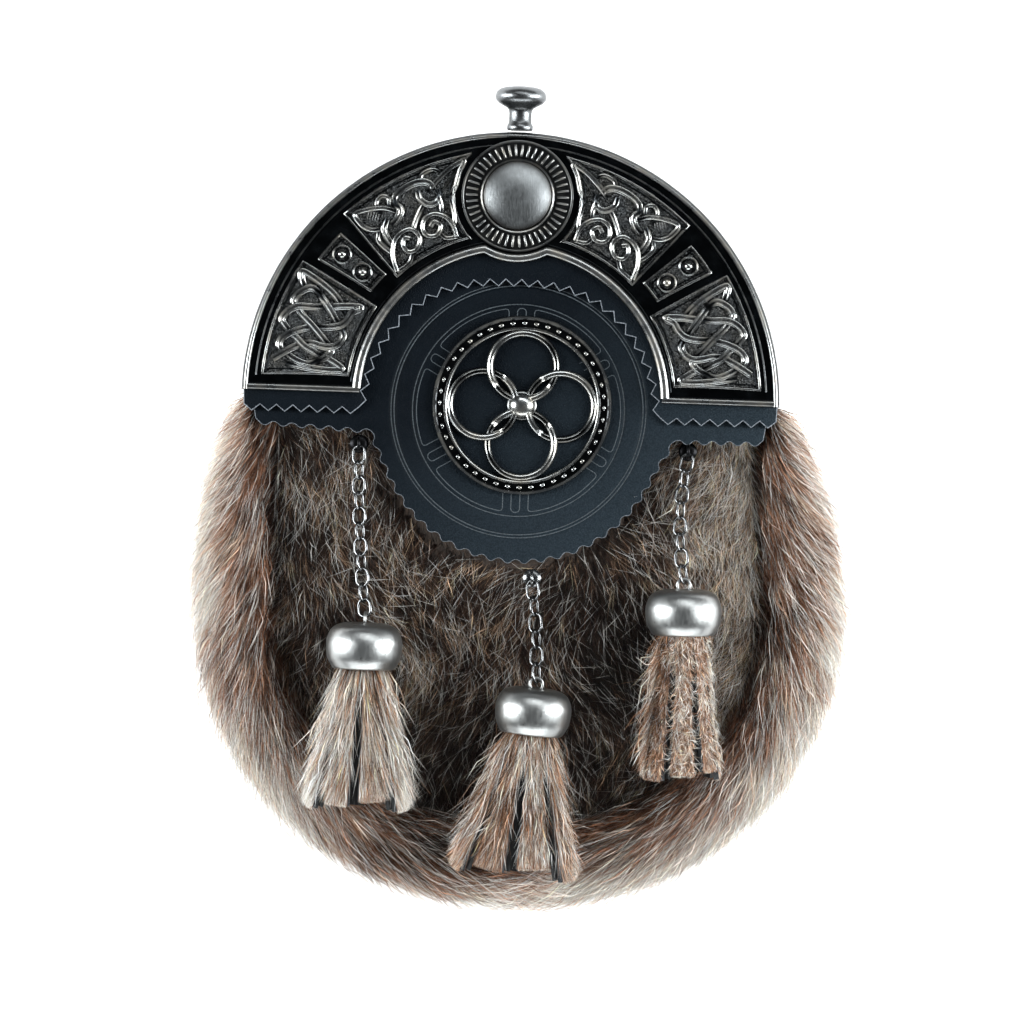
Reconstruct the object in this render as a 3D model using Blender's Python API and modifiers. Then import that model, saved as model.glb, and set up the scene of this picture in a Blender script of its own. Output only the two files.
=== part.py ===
"""Sporran pouch, lying on its back: a fur pouch under an arched metal cantle, with three chain tassels.

Blender 4.5. Sizes are in millimetres and become metres through MM. +Y runs up the pouch towards the
knob, +Z out of its front, and the floor is z = 0. The origin is under the middle of the bounding box.
"""

import math

import bmesh
import bpy
from mathutils import Matrix, Vector

MM = 0.001
GAP = 0.3  # between neighbouring pieces

# Pouch outline, seen from the front: an egg for the fur's outer edge and one for the crease inside it.
HALF_HEIGHT = 112.3
EGG_MIDDLE_Y = -29.8
OUTER = {"half_width": 88.9, "below": HALF_HEIGHT + EGG_MIDDLE_Y, "above": 107.0, "taper": 1.0}
CREASE = {"half_width": 67.6, "below": 61.8, "above": 107.0, "taper": 0.15}
EGG_POWER = 2.1
LEFT_END_Y, RIGHT_END_Y = 28.2, 23.3
LEAN = -2.5  # the pouch's top sits this far off its middle
STATIONS = 28

# The fur roll between the crease and the back seam: share of the way from the crease to the outer
# edge, and height, for the outside and for the inside of the pelt.
ROLL_SECTION = (
    # outside share, outside z, inside share, inside z
    (0.01, 28.6, 0.14, 26.6),
    (0.15, 33.4, 0.25, 30.6),
    (0.42, 35.5, 0.44, 32.4),
    (0.74, 32.4, 0.66, 29.6),
    (0.97, 23.5, 0.82, 22.0),
    (0.99, 12.5, 0.83, 13.5),
    (0.77, 3.4, 0.67, 6.4),
    (0.29, 1.4, 0.29, 4.4),
)
ROLL_MIDDLE = {"share": 0.5, "z": 18.0}
LOCK_RISE = 0.8  # every other ridge of fur stands this much lower

# Layers from the floor up.
RIM_WIDTH = 5.0
RIM_INSET = 0.4
PANEL_Z = 6.6
PANEL_INSET = 0.04  # share of the roll's width that the back stays inside it
LEATHER = 2.0
EDGE_Z = 28.6
EDGE_Z_UNDER_CANTLE = 35.0
EDGE_RISE_FROM_Y, EDGE_RISE_TO_Y = 12.0, 35.0
PELT_PEAK_Z = 37.0
PELT_THICK = 3.5
PELT_MIDDLE = (0.0, -8.0)
PELT_RINGS = (
    # share of the way from the middle to the edge, thickness below the fur's surface, lock's depth
    (0.42, 0.0, 0.0),
    (0.68, 0.0, LOCK_RISE),
    (0.85, 0.0, LOCK_RISE),
    (1.0, 0.0, 0.0),
    (1.0, PELT_THICK, 0.0),
    (0.6, PELT_THICK, 0.0),
)
FLAP_Z, FLAP_THICK = PELT_PEAK_Z + GAP, 1.5
GASKET_Z = FLAP_Z + FLAP_THICK + GAP
CANTLE_Z = GASKET_Z + FLAP_THICK + GAP
CANTLE_THICK = 2.0

# Back panel's mouth and strap loops.
MOUTH = {"middle_y": 66.0, "half_width": 30.0, "half_height": 9.0}
LOOP = {"x": 40.0, "y": 20.0, "width": 15.0, "length": 36.0, "foot": 5.0, "strap": 1.6, "floor_gap": 0.5}

# Cantle, in its own axes: its middle is the middle of the arch and it sits turned by 2 degrees.
CANTLE_AT = (-2.5, 26.0)
CANTLE_TURN = math.radians(-2.0)
CANTLE_RADIUS = 73.8
CANTLE_FOOT_Y = 0.8
INNER_RADIUS = 40.8
FLANGE_THICK, FLANGE_DEEP = 1.2, 10.0
TARGE_Y = 55.9
TARGE = {"dome": 9.2, "dome_rise": 4.2, "ribs_from": 10.4, "ribs_to": 14.4, "ribs": 22, "bump": 18.2}
TARGE_COLLAR = {"foot_rise": 0.7, "dome_foot_rise": 0.9, "rib_inset": 0.28, "rib_rise": 0.5}
ARCH_GUSSET_RADIUS = 68.2
ARCH_GUSSET_FOOT = 0.6  # degrees above the arch's own level at each end
BEAD = 0.75
SUNK = 0.13  # keeps a bead's edges off the plane of the face it is fused to

# Cantle panels on the left half; the right half mirrors them. Angles are from the cantle's axis.
PANELS = (
    # name, inner radius, outer radius, angle nearest the axis, angle farthest from the axis
    ("plait", 45.0, 68.3, 57.5, 84.5),
    ("bosses", 48.5, 65.5, 46.2, 54.2),
    ("knot", 45.6, 68.3, 13.5, 44.0),
)
BOSS_RADII = (52.7, 61.3)  # from the arch's middle
BOSS_SECTION = ((0, 1.5), (1.3, 1.2), (2.4, 0), (2.4, -0.5), (0, -0.5))  # radius, height
FRAME_ROUND_TARGE = 17.0
EDGE_INSET = 1.3

# Flap and gasket, in the cantle's axes.
FLAP = {"radius": 71.0, "corner_y": 2.0, "foot_y": -8.3, "foot_x": 70.2, "pitch": 4.7, "wave": 1.1}
DISC = {"x": 3.0, "y": -4.3, "radius": 40.2}
GASKET = {"radius": 72.2, "foot_y": -3.2, "foot_x": 71.8, "pitch": 4.8, "tooth": 1.9}
GASKET_HOLE = {"x": -0.2, "y": -5.0, "radius": 41.2, "tooth": 3.6, "flat": 3.0, "flat_spread": 18.0}
EMBOSSED = {"x": 2.3, "y": -2.4, "radii": (34.7, 28.9), "width": 0.7, "deep": 0.35}

# Badge, in the cantle's axes.
BADGE = {"x": 3.2, "y": -1.0, "outer": 24.5, "inner": 20.6, "thick": 1.5, "wire": 1.0}
BADGE_RINGS = {"away": 10.6, "radius": 9.3, "around": 10}
HUB_SECTION = ((0, 2.7), (2.2, 2.2), (3.6, 0.9), (3.6, 0.1), (0, 0.1))  # radius, height

# Knob, a turned profile: radius and height above its foot.
KNOB_SECTION = (
    # radius, height
    (0.0, 12.2),
    (4.6, 12.2),
    (6.6, 11.4),
    (7.0, 9.9),
    (6.2, 8.4),
    (3.4, 7.2),
    (2.9, 5.8),
    (2.9, 2.2),
    (3.5, 1.4),
    (3.5, 0.0),
    (0.0, 0.0),
)
KNOB_HEIGHT = KNOB_SECTION[0][1]

# Chains and tassels: places of the hanger, the bell's middle and the tassel's tip, seen from the front.
DROPS = (
    # name, hanger x, hanger y, bell x, bell y, tip x, tip y, half width at the tip, sideways bow
    ("left", -43.9, 14.4, -42.3, -40.7, -44.1, -84.8, 14.5, 0.6),
    ("centre", 3.4, -22.4, 3.7, -58.4, -1.5, -102.8, 17.5, -0.5),
    ("right", 46.1, 12.2, 44.6, -31.6, 44.1, -77.0, 10.6, 1.6),
)
LINK = {"pitch": 4.26, "wire": 0.78, "width": 4.3, "fuse": 0.14, "around": 10, "wire_sides": 5}
EYE = {"radius": 1.75, "wire": 0.85}
HANGER_BASE = {"radius": 2.6, "thick": 0.8}

# Tassel bell, a turned cup: radius and height along its axis, outside then inside.
BELL_SECTION = (
    # radius, height
    (0.0, 6.2),
    (6.4, 6.1),
    (9.1, 4.5),
    (10.4, 1.0),
    (10.1, -2.8),
    (8.3, -6.2),
    (7.2, -6.2),
    (8.9, -2.5),
    (8.9, 1.5),
    (6.0, 4.8),
    (0.0, 4.9),
)
BELL_RADIUS, BELL_TOP, BELL_MOUTH = 10.4, 6.2, -6.2
STRIPS = 8
STRIP = {"thick": 2.6, "head": 6.6, "tip_half_depth": 5.6, "start_in_bell": 3.0}
HEAD_SECTION = ((0, 6.2), (4.6, 6.0), (6.6, 4.2), (6.6, -1.0), (0, -1.0))  # radius, height

MATERIALS = {
    # name: colour, roughness, metallic
    "fur": ((0.20, 0.13, 0.09), 0.9, 0.0),
    "leather": ((0.02, 0.024, 0.03), 0.5, 0.0),
    "dark_metal": ((0.10, 0.10, 0.10), 0.3, 1.0),
    "pewter": ((0.45, 0.44, 0.43), 0.35, 1.0),
    "chain_metal": ((0.40, 0.40, 0.41), 0.3, 1.0),
}


def clear_scene():
    for old in list(bpy.data.objects):
        bpy.data.objects.remove(old, do_unlink=True)


def make_materials():
    for name, (colour, roughness, metallic) in MATERIALS.items():
        material = bpy.data.materials.new(name)
        material.use_nodes = True
        shader = material.node_tree.nodes["Principled BSDF"]
        shader.inputs["Base Color"].default_value = (*colour, 1.0)
        shader.inputs["Roughness"].default_value = roughness
        shader.inputs["Metallic"].default_value = metallic
        material.diffuse_color = (*colour, 1.0)


def new_collection(name):
    collection = bpy.data.collections.new(name)
    bpy.context.scene.collection.children.link(collection)
    return collection


def add_object(name, data, collection, material=None):
    obj = bpy.data.objects.new(name, data)
    collection.objects.link(obj)
    if material:
        data.materials.clear()
        data.materials.append(bpy.data.materials[material])
    return obj


def mesh_object(name, mesh_builder, collection, material=None):
    """A new object whose mesh is what mesh_builder draws into an empty bmesh."""
    shape = bmesh.new()
    mesh_builder(shape)
    bmesh.ops.remove_doubles(shape, verts=shape.verts, dist=0.001 * MM)
    bmesh.ops.recalc_face_normals(shape, faces=shape.faces)
    mesh = bpy.data.meshes.new(name)
    shape.to_mesh(mesh)
    shape.free()
    return add_object(name, mesh, collection, material)


def loft(shape, rings):
    """Skins closed rings of equal length, and caps the first and the last."""
    rows = [[shape.verts.new(Vector(point) * MM) for point in ring] for ring in rings]
    count = len(rows[0])
    for low, high in zip(rows, rows[1:]):
        for i in range(count):
            j = (i + 1) % count
            shape.faces.new((low[i], low[j], high[j], high[i]))
    shape.faces.new(rows[0])
    shape.faces.new(rows[-1])


def flat_outline(name, outlines, low_z, thick, collection, material=None):
    """A plate of this thickness: the first outline is its edge, and the others are holes."""
    curve = bpy.data.curves.new(name, "CURVE")
    curve.dimensions = "2D"
    curve.fill_mode = "BOTH"
    curve.extrude = thick * MM / 2
    for outline in outlines:
        spline = curve.splines.new("POLY")
        spline.points.add(len(outline) - 1)
        for point, (x, y) in zip(spline.points, outline):
            point.co = (x * MM, y * MM, 0, 1)
        spline.use_cyclic_u = True
    obj = add_object(name, curve, collection, material)
    obj.location.z = (low_z + thick / 2) * MM
    return obj


def wire(name, points, radius, collection, cyclic=False, height=0.0):
    """A bead of four sides along points, as a curve object."""
    curve = bpy.data.curves.new(name, "CURVE")
    curve.dimensions = "3D"
    curve.bevel_depth = radius * MM
    curve.bevel_resolution = 0
    curve.use_fill_caps = not cyclic
    spline = curve.splines.new("POLY")
    spline.points.add(len(points) - 1)
    for point, place in zip(spline.points, points):
        x, y = place[:2]
        z = place[2] if len(place) > 2 else height
        point.co = (x * MM, y * MM, z * MM, 1)
    spline.use_cyclic_u = cyclic
    return add_object(name, curve, collection)


def turned(name, section, steps, collection, material=None):
    """A profile of (radius, height) rows, from the top down, turned about its own Z."""
    mesh = bpy.data.meshes.new(name)
    shape = bmesh.new()
    rows = [shape.verts.new((radius * MM, 0, height * MM)) for radius, height in section]
    for upper, lower in zip(rows, rows[1:]):
        shape.edges.new((upper, lower))
    shape.to_mesh(mesh)
    shape.free()
    obj = add_object(name, mesh, collection, material)
    screw = obj.modifiers.new("turn", "SCREW")
    screw.axis = "Z"
    screw.steps = screw.render_steps = steps
    screw.use_merge_vertices = True
    screw.merge_threshold = 0.00001
    return obj


def as_mesh(obj):
    """Replaces a curve or a modified object by its mesh in world space."""
    bpy.context.view_layer.update()
    graph = bpy.context.evaluated_depsgraph_get()
    mesh = bpy.data.meshes.new_from_object(obj.evaluated_get(graph))
    mesh.transform(obj.matrix_world)
    shape = bmesh.new()
    shape.from_mesh(mesh)
    bmesh.ops.remove_doubles(shape, verts=shape.verts, dist=0.001 * MM)
    bmesh.ops.recalc_face_normals(shape, faces=shape.faces)
    shape.to_mesh(mesh)
    shape.free()
    name, collection = obj.name, obj.users_collection[0]
    bpy.data.objects.remove(obj)
    return add_object(name, mesh, collection)


def fused(name, pieces, collection, material, cut=(), solver="EXACT"):
    """One body from overlapping pieces, with the pieces of cut taken out of it. The mesh is cleaned
    after each Boolean, which the exact solver needs."""
    whole = as_mesh(pieces[0])
    for other, operation in [(p, "UNION") for p in pieces[1:]] + [(c, "DIFFERENCE") for c in cut]:
        other = as_mesh(other)
        boolean = whole.modifiers.new(operation.lower(), "BOOLEAN")
        boolean.operation = operation
        boolean.solver = solver
        boolean.object = other
        whole = as_mesh(whole)
        bpy.data.objects.remove(other)
    mesh = whole.data
    bpy.data.objects.remove(whole)
    return add_object(name, mesh, collection, material)


def arc(middle, radius, first, last, steps):
    """Points on an arc, in degrees counter-clockwise from +X, both ends included."""
    turns = [math.radians(first + (last - first) * i / steps) for i in range(steps + 1)]
    return [(middle[0] + radius * math.cos(t), middle[1] + radius * math.sin(t)) for t in turns]


def offset(outline, inwards):
    """The closed outline moved inwards by this much at each point. It runs counter-clockwise."""
    moved = []
    for i, (x, y) in enumerate(outline):
        before, after = outline[i - 1], outline[(i + 1) % len(outline)]
        along = Vector((after[0] - before[0], after[1] - before[1])).normalized()
        moved.append((x - along.y * inwards, y + along.x * inwards))
    return moved


def egg_point(egg, angle):
    """A point of the pouch's outline: angle 0 is its right side, 270 its bottom."""
    turn = math.radians(angle)
    cos, sin = math.cos(turn), math.sin(turn)
    if sin <= 0:
        x = math.copysign(egg["half_width"] * abs(cos) ** (2 / EGG_POWER), cos)
        return x, EGG_MIDDLE_Y - egg["below"] * abs(sin) ** (2 / EGG_POWER)
    lean = LEAN * sin / 0.54
    x = math.copysign(egg["half_width"] * abs(cos) ** egg["taper"], cos)
    return x + lean, EGG_MIDDLE_Y + egg["above"] * sin


def end_angle(end_y):
    return math.degrees(math.asin((end_y - EGG_MIDDLE_Y) / OUTER["above"]))


def roll_angles():
    """Stations from the pouch's upper left, round the bottom, to its upper right."""
    first, last = 180 - end_angle(LEFT_END_Y), 360 + end_angle(RIGHT_END_Y)
    return [first + (last - first) * i / STATIONS for i in range(STATIONS + 1)]


def roll_place(angle, share):
    """A place between the crease, share 0, and the outer edge, share 1."""
    crease, outer = egg_point(CREASE, angle), egg_point(OUTER, angle)
    return tuple(a + (b - a) * share for a, b in zip(crease, outer))


def in_cantle_axes(point):
    """A place in the cantle's own axes, moved to the pouch's."""
    turned_place = Matrix.Rotation(CANTLE_TURN, 2) @ Vector(point[:2])
    return CANTLE_AT[0] + turned_place.x, CANTLE_AT[1] + turned_place.y


def pouch_outline(share, radius):
    """Counter-clockwise from the upper left: along the roll, then over the arch."""
    lower = [roll_place(angle, share) for angle in roll_angles()]
    upper = [in_cantle_axes(point) for point in arc((0, 0), radius, 2, 178, 14)]
    return lower + upper


def pelt_outline():
    return offset(pouch_outline(0.0, ARCH_GUSSET_RADIUS - LEATHER - GAP), GAP)


def edge_height(y):
    """Height of the front pelt's edge: low along the crease and higher under the cantle."""
    share = min(max((y - EDGE_RISE_FROM_Y) / (EDGE_RISE_TO_Y - EDGE_RISE_FROM_Y), 0), 1)
    return EDGE_Z + (EDGE_Z_UNDER_CANTLE - EDGE_Z) * share


def pelt_height(x, y):
    """Height of the front pelt's fur above the floor at this place, and of the roll outside it."""
    away = Vector((x - PELT_MIDDLE[0], y - PELT_MIDDLE[1]))
    if away.length < 0.01:
        return PELT_PEAK_Z
    edge = max(
        (Vector(point) for point in pelt_outline()),
        key=lambda point: (point - Vector(PELT_MIDDLE)).normalized().dot(away.normalized()),
    )
    share = away.length / (edge - Vector(PELT_MIDDLE)).length
    if share > 1:
        return ROLL_SECTION[2][1] + LOCK_RISE
    low = edge_height(edge.y)
    return low + (PELT_PEAK_Z - low) * (1 - share**3)


def seat_height(x, y, reach):
    """The greatest height of the fur within this reach of a place."""
    return max(pelt_height(*place) for place in [(x, y)] + arc((x, y), reach, 0, 315, 7))


def build_roll(parts):
    """The fur roll: hollow towards the pouch, and solid at its two ends under the cantle."""
    first_row, last_row = ROLL_SECTION[0], ROLL_SECTION[-1]

    def draw(shape):
        rings = []
        for station, angle in enumerate(roll_angles()):
            outside, inside = [], []
            for row, (out_share, out_z, in_share, in_z) in enumerate(ROLL_SECTION):
                locks = LOCK_RISE * ((station + row // 2) % 2) if 0 < row < len(ROLL_SECTION) - 1 else 0
                x, y = roll_place(angle, out_share)
                middle = Vector((*roll_place(angle, ROLL_MIDDLE["share"]), ROLL_MIDDLE["z"]))
                rise = (Vector((x, y, out_z)) - middle).normalized() * locks
                outside.append((x - rise.x, y - rise.y, out_z - rise.z))
                if station in (0, STATIONS):
                    along = row / (len(ROLL_SECTION) - 1)
                    in_share = first_row[2] + (last_row[2] - first_row[2]) * along
                    in_z = first_row[3] + (last_row[3] - first_row[3]) * along
                inside.append((*roll_place(angle, in_share), in_z))
            rings.append(outside + inside[::-1])
        loft(shape, rings)

    return mesh_object("gusset_pelt", draw, parts, "fur")


def build_front_pelt(parts):
    """The front's dished sheet of fur, low at its crease and open behind."""
    outline = pelt_outline()

    def ring(share, drop, lock):
        places = []
        for i, (x, y) in enumerate(outline):
            low = edge_height(y)
            z = low + (PELT_PEAK_Z - low) * (1 - share**3) - drop
            if y < EDGE_RISE_FROM_Y:
                z -= lock * (i % 2)
            places.append(
                (
                    PELT_MIDDLE[0] + (x - PELT_MIDDLE[0]) * share,
                    PELT_MIDDLE[1] + (y - PELT_MIDDLE[1]) * share,
                    z,
                )
            )
        return places

    def draw(shape):
        loft(shape, [ring(*row) for row in PELT_RINGS])

    return mesh_object("front_pelt", draw, parts, "fur")


def build_back_panel(parts):
    """The flat leather back with its mouth, and the rim that stands it off the floor."""
    outline = pouch_outline(ROLL_SECTION[-1][0] - PANEL_INSET, ARCH_GUSSET_RADIUS)
    half_width, half_height = MOUTH["half_width"], MOUTH["half_height"]
    right_end = arc((half_width, MOUTH["middle_y"]), half_height, -90, 90, 8)
    left_end = arc((-half_width, MOUTH["middle_y"]), half_height, 90, 270, 8)
    mouth = [(x + LEAN, y) for x, y in right_end + left_end]
    plate = flat_outline("plate", [outline, mouth], PANEL_Z, LEATHER, parts)
    rim_outlines = [offset(outline, RIM_INSET), offset(outline, RIM_INSET + RIM_WIDTH)]
    rim = flat_outline("rim", rim_outlines, 0.0, PANEL_Z + LEATHER / 2, parts)
    return fused("back_panel", [plate, rim], parts, "leather")


def build_strap_loop(side, parts):
    """A strip with a foot at each end, drawn from the side and given its width."""
    half, foot = LOOP["length"] / 2, LOOP["foot"]
    low, strap = LOOP["floor_gap"], LOOP["floor_gap"] + LOOP["strap"]
    top = PANEL_Z - GAP
    outline = [(-half, low), (half, low), (half, top), (half - foot, top), (half - foot, strap)]
    outline += [(foot - half, strap), (foot - half, top), (-half, top)]
    loop = flat_outline("belt_loop_" + side, [outline], -LOOP["width"] / 2, LOOP["width"], parts, "leather")
    loop.matrix_world = (
        Matrix.Translation(((-1 if side == "left" else 1) * LOOP["x"] * MM + LEAN * MM, LOOP["y"] * MM, 0))
        @ Matrix.Rotation(math.radians(90), 4, "Z")
        @ Matrix.Rotation(math.radians(90), 4, "X")
    )
    return loop


def build_arch_gusset(parts, seat):
    """The leather wall under the arch, between the back and the flap."""
    radius, foot = ARCH_GUSSET_RADIUS - RIM_INSET, ARCH_GUSSET_FOOT
    outer = arc((0, 0), radius, foot, 180 - foot, 18)
    inner = arc((0, 0), radius - LEATHER + GAP, 180 - foot, foot, 18)
    low = PANEL_Z + LEATHER + GAP
    wall = flat_outline("arch_gusset", [outer + inner], low, FLAP_Z - GAP - low, parts, "leather")
    wall.parent = seat
    return wall


def toothed(start, end, pitch, tooth, outwards):
    """Zigzag points from start towards end, their tips moved outwards by tooth."""
    way = Vector(end) - Vector(start)
    count = max(1, round(way.length / pitch))
    points = []
    for i in range(count):
        for share, height in ((0.0, 0.0), (0.5, tooth)):
            place = Vector(start) + way * ((i + share) / count) + Vector(outwards) * height
            points.append((place.x, place.y))
    return points


def toothed_arc(middle, radius_at, first, last, pitch, tooth):
    """Zigzag points on an arc. radius_at gives the tips' radius at an angle in degrees."""
    length = abs(math.radians(last - first)) * radius_at(270)
    count = round(length / pitch)
    points = []
    for i in range(count * 2 + 1):
        angle = first + (last - first) * i / (count * 2)
        radius = radius_at(angle) - (tooth if i % 2 else 0.0)
        points += arc(middle, radius, angle, angle, 1)[:1]
    return points


def build_flap(parts, seat):
    """The closing flap: an arch of leather whose disc hangs over the front, with a wavy edge."""
    foot_x, foot_y = FLAP["foot_x"], FLAP["foot_y"]
    middle = (DISC["x"], DISC["y"])
    drop = math.degrees(math.asin((DISC["y"] - foot_y) / DISC["radius"]))
    reach = DISC["radius"] * math.cos(math.radians(drop))
    corner = math.degrees(math.asin(FLAP["corner_y"] / FLAP["radius"]))
    outline = arc((0, 0), FLAP["radius"], corner, 180 - corner, 18)
    outline += toothed((-foot_x, foot_y), (DISC["x"] - reach, foot_y), FLAP["pitch"], FLAP["wave"], (0, -1))
    outline += toothed_arc(
        middle, lambda angle: DISC["radius"], 180 + drop, 360 - drop, FLAP["pitch"], FLAP["wave"]
    )
    outline += toothed((DISC["x"] + reach, foot_y), (foot_x, foot_y), FLAP["pitch"], FLAP["wave"], (0, -1))[1:]
    outline.append((foot_x, foot_y))
    leather = flat_outline("leather", [outline], FLAP_Z, FLAP_THICK, parts)
    grooves = []
    for radius in EMBOSSED["radii"]:
        circles = [
            arc((EMBOSSED["x"], EMBOSSED["y"]), radius + side * EMBOSSED["width"] / 2, 0, 342, 19)
            for side in (1, -1)
        ]
        low = FLAP_Z + FLAP_THICK - EMBOSSED["deep"]
        grooves.append(flat_outline("groove", circles, low, 1.0, parts))
    flap = fused("flap", [leather], parts, "leather", cut=grooves, solver="MANIFOLD")
    flap.parent = seat
    return flap


def build_gasket(parts, seat):
    """The toothed leather between the cantle and the flap."""
    foot_x, foot_y = GASKET["foot_x"], GASKET["foot_y"]
    hole = GASKET_HOLE
    middle = (hole["x"], hole["y"])

    def radius_at(angle):
        away = (angle - 90) / hole["flat_spread"]
        return hole["radius"] - hole["flat"] * math.exp(-away * away / 2)

    rise = math.degrees(math.asin((foot_y - hole["y"]) / hole["radius"]))
    reach = hole["radius"] * math.cos(math.radians(rise))
    outline = arc((0, 0), GASKET["radius"], 1, 179, 18)
    outline += toothed(
        (-foot_x, foot_y), (hole["x"] - reach, foot_y), GASKET["pitch"], GASKET["tooth"], (0, -1)
    )
    outline += toothed_arc(middle, radius_at, 180 - rise, rise, GASKET["pitch"], hole["tooth"])
    outline += toothed(
        (hole["x"] + reach, foot_y), (foot_x, foot_y), GASKET["pitch"], GASKET["tooth"], (0, -1)
    )[1:]
    outline.append((foot_x, foot_y))
    gasket = flat_outline("gasket", [outline], GASKET_Z, FLAP_THICK, parts, "leather")
    gasket.parent = seat
    return gasket


def cantle_outline():
    """The arch seen from the front, with the bump that carries the targe."""
    foot = math.degrees(math.asin(CANTLE_FOOT_Y / CANTLE_RADIUS))
    inner_foot = math.degrees(math.asin(CANTLE_FOOT_Y / INNER_RADIUS))
    bump = TARGE["bump"]
    meet_y = (TARGE_Y**2 + INNER_RADIUS**2 - bump**2) / (2 * TARGE_Y)
    meet_x = math.sqrt(INNER_RADIUS**2 - meet_y**2)
    inner_angle = math.degrees(math.atan2(meet_y, meet_x))
    bump_angle = math.degrees(math.atan2(meet_x, TARGE_Y - meet_y))
    outline = arc((0, 0), CANTLE_RADIUS, foot, 180 - foot, 24)
    outline += arc((0, 0), INNER_RADIUS, 180 - inner_foot, 180 - inner_angle, 8)
    outline += arc((0, TARGE_Y), bump, 270 - bump_angle, 270 + bump_angle, 4)[1:-1]
    outline += arc((0, 0), INNER_RADIUS, inner_angle, inner_foot, 8)
    return outline


def polar(side, radius, angle):
    """A place on the cantle at this angle from its axis; side is -1 on the left."""
    turn = math.radians(angle)
    return side * radius * math.sin(turn), radius * math.cos(turn)


def panel_outline(side, inner, outer, near, far):
    near_side = [polar(side, outer + (inner - outer) * i / 2, near) for i in range(3)]
    if near < 20:  # the edge next to the targe bends round it
        bent = []
        for x, y in near_side:
            away = Vector((x, y - TARGE_Y))
            if away.length < FRAME_ROUND_TARGE:
                x, y = Vector((0, TARGE_Y)) + away.normalized() * FRAME_ROUND_TARGE
            bent.append((x, y))
        near_side = bent
    inner_edge = [polar(side, inner, (near + far) / 2)]
    far_side = [polar(side, inner, far), polar(side, outer, far)]
    outer_edge = [polar(side, outer, far + (near - far) * i / 3) for i in (1, 2)]
    return near_side + inner_edge + far_side + outer_edge


def plait(side, inner, outer, near, far, phase):
    """One strand of the plait: it swings across the panel three times along its length."""
    middle, swing = (inner + outer) / 2, (outer - inner) / 2 - 3.0
    points = []
    steps = 10
    for i in range(steps + 1):
        share = i / steps
        angle = near + 4.0 + (far - near - 8.0) * share
        points.append(polar(side, middle + swing * math.cos(math.pi * (3 * share + phase)), angle))
    return points


def looped_knot(side, inner, outer, near, far):
    """A three-lobed knot whose lobes point to the panel's corners."""
    middle_r, middle_a = (inner + outer) / 2 + 1.5, (near + far) / 2
    half_r, half_a = (outer - inner) / 2 - 2.2, (far - near) / 2 - 3.5
    points = []
    steps = 20
    for i in range(steps):
        turn = 2 * math.pi * i / steps
        across = (math.sin(turn) + 2 * math.sin(2 * turn)) / 2.8
        along = (math.cos(turn) - 2 * math.cos(2 * turn)) / 3.0
        points.append(polar(side, middle_r + half_r * along, middle_a + half_a * across))
    return points


def build_cantle(parts, seat):
    """The cast metal arch: plate, flange, raised edge, panel frames, knotwork and bosses in one body."""
    outline = cantle_outline()
    face_z = CANTLE_Z + CANTLE_THICK
    pieces = [flat_outline("plate", [outline], CANTLE_Z, CANTLE_THICK, parts)]
    foot = math.degrees(math.asin(CANTLE_FOOT_Y / CANTLE_RADIUS)) + 0.2
    wall_out = arc((0, 0), CANTLE_RADIUS - 0.15, foot, 180 - foot, 20)
    wall_in = arc((0, 0), CANTLE_RADIUS - FLANGE_THICK, 180 - foot, foot, 20)
    low = face_z - FLANGE_DEEP
    pieces.append(flat_outline("flange", [wall_out + wall_in], low, face_z - low - 0.4, parts))
    pieces.append(wire("edge", offset(outline, EDGE_INSET), BEAD, parts, cyclic=True, height=face_z - SUNK))
    for side in (-1, 1):
        for name, inner, outer, near, far in PANELS:
            frame = panel_outline(side, inner, outer, near, far)
            pieces.append(wire("frame", frame, BEAD * 0.8, parts, cyclic=True, height=face_z - SUNK))
            if name == "plait":
                for phase in (0, 1):
                    strand = plait(side, inner, outer, near, far, phase)
                    pieces.append(wire("strand", strand, BEAD, parts, height=face_z + SUNK * (1 + phase)))
            elif name == "knot":
                strand = looped_knot(side, inner, outer, near, far)
                pieces.append(wire("loop", strand, BEAD, parts, cyclic=True, height=face_z + SUNK))
            else:
                for radius in BOSS_RADII:
                    boss = turned("boss", BOSS_SECTION, 8, parts)
                    boss.location = (*[c * MM for c in polar(side, radius, (near + far) / 2)], face_z * MM)
                    pieces.append(boss)
    cantle = fused("cantle", pieces, parts, "dark_metal", solver="MANIFOLD")
    cantle.parent = seat
    return cantle


def build_targe(parts, seat):
    """The domed boss with its collar of ribs, seated on the cantle's bump."""
    low = CANTLE_Z + CANTLE_THICK + GAP
    ribs, rise = TARGE["ribs"], TARGE["dome_rise"]

    def draw(shape):
        foot_rise, dome_foot = TARGE_COLLAR["foot_rise"], TARGE_COLLAR["dome_foot_rise"]
        section = [(TARGE["ribs_to"], 0.0), (TARGE["ribs_to"], foot_rise), (TARGE["ribs_from"], foot_rise)]
        for up in (0, 30, 60):
            turn = math.radians(up)
            height = dome_foot + (rise - dome_foot) * math.sin(turn)
            section.append((TARGE["dome"] * math.cos(turn), height))
        rings = []
        for radius, height in section:
            ring = arc((0, 0), radius, 0, 360 - 360 / ribs, ribs - 1)
            rings.append([(x, y, height) for x, y in ring])
        loft(shape, rings)
        bmesh.ops.recalc_face_normals(shape, faces=shape.faces)
        band = [
            face
            for face in shape.faces
            if face.normal.z > 0.99
            and TARGE["ribs_from"] < face.calc_center_median().xy.length / MM < TARGE["ribs_to"]
        ]
        inset, rib_rise = TARGE_COLLAR["rib_inset"] * MM, TARGE_COLLAR["rib_rise"] * MM
        bmesh.ops.inset_individual(shape, faces=band, thickness=inset, depth=rib_rise)

    targe = mesh_object("targe", draw, parts, "pewter")
    targe.location = (0, TARGE_Y * MM, low * MM)
    targe.parent = seat
    return targe


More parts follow.
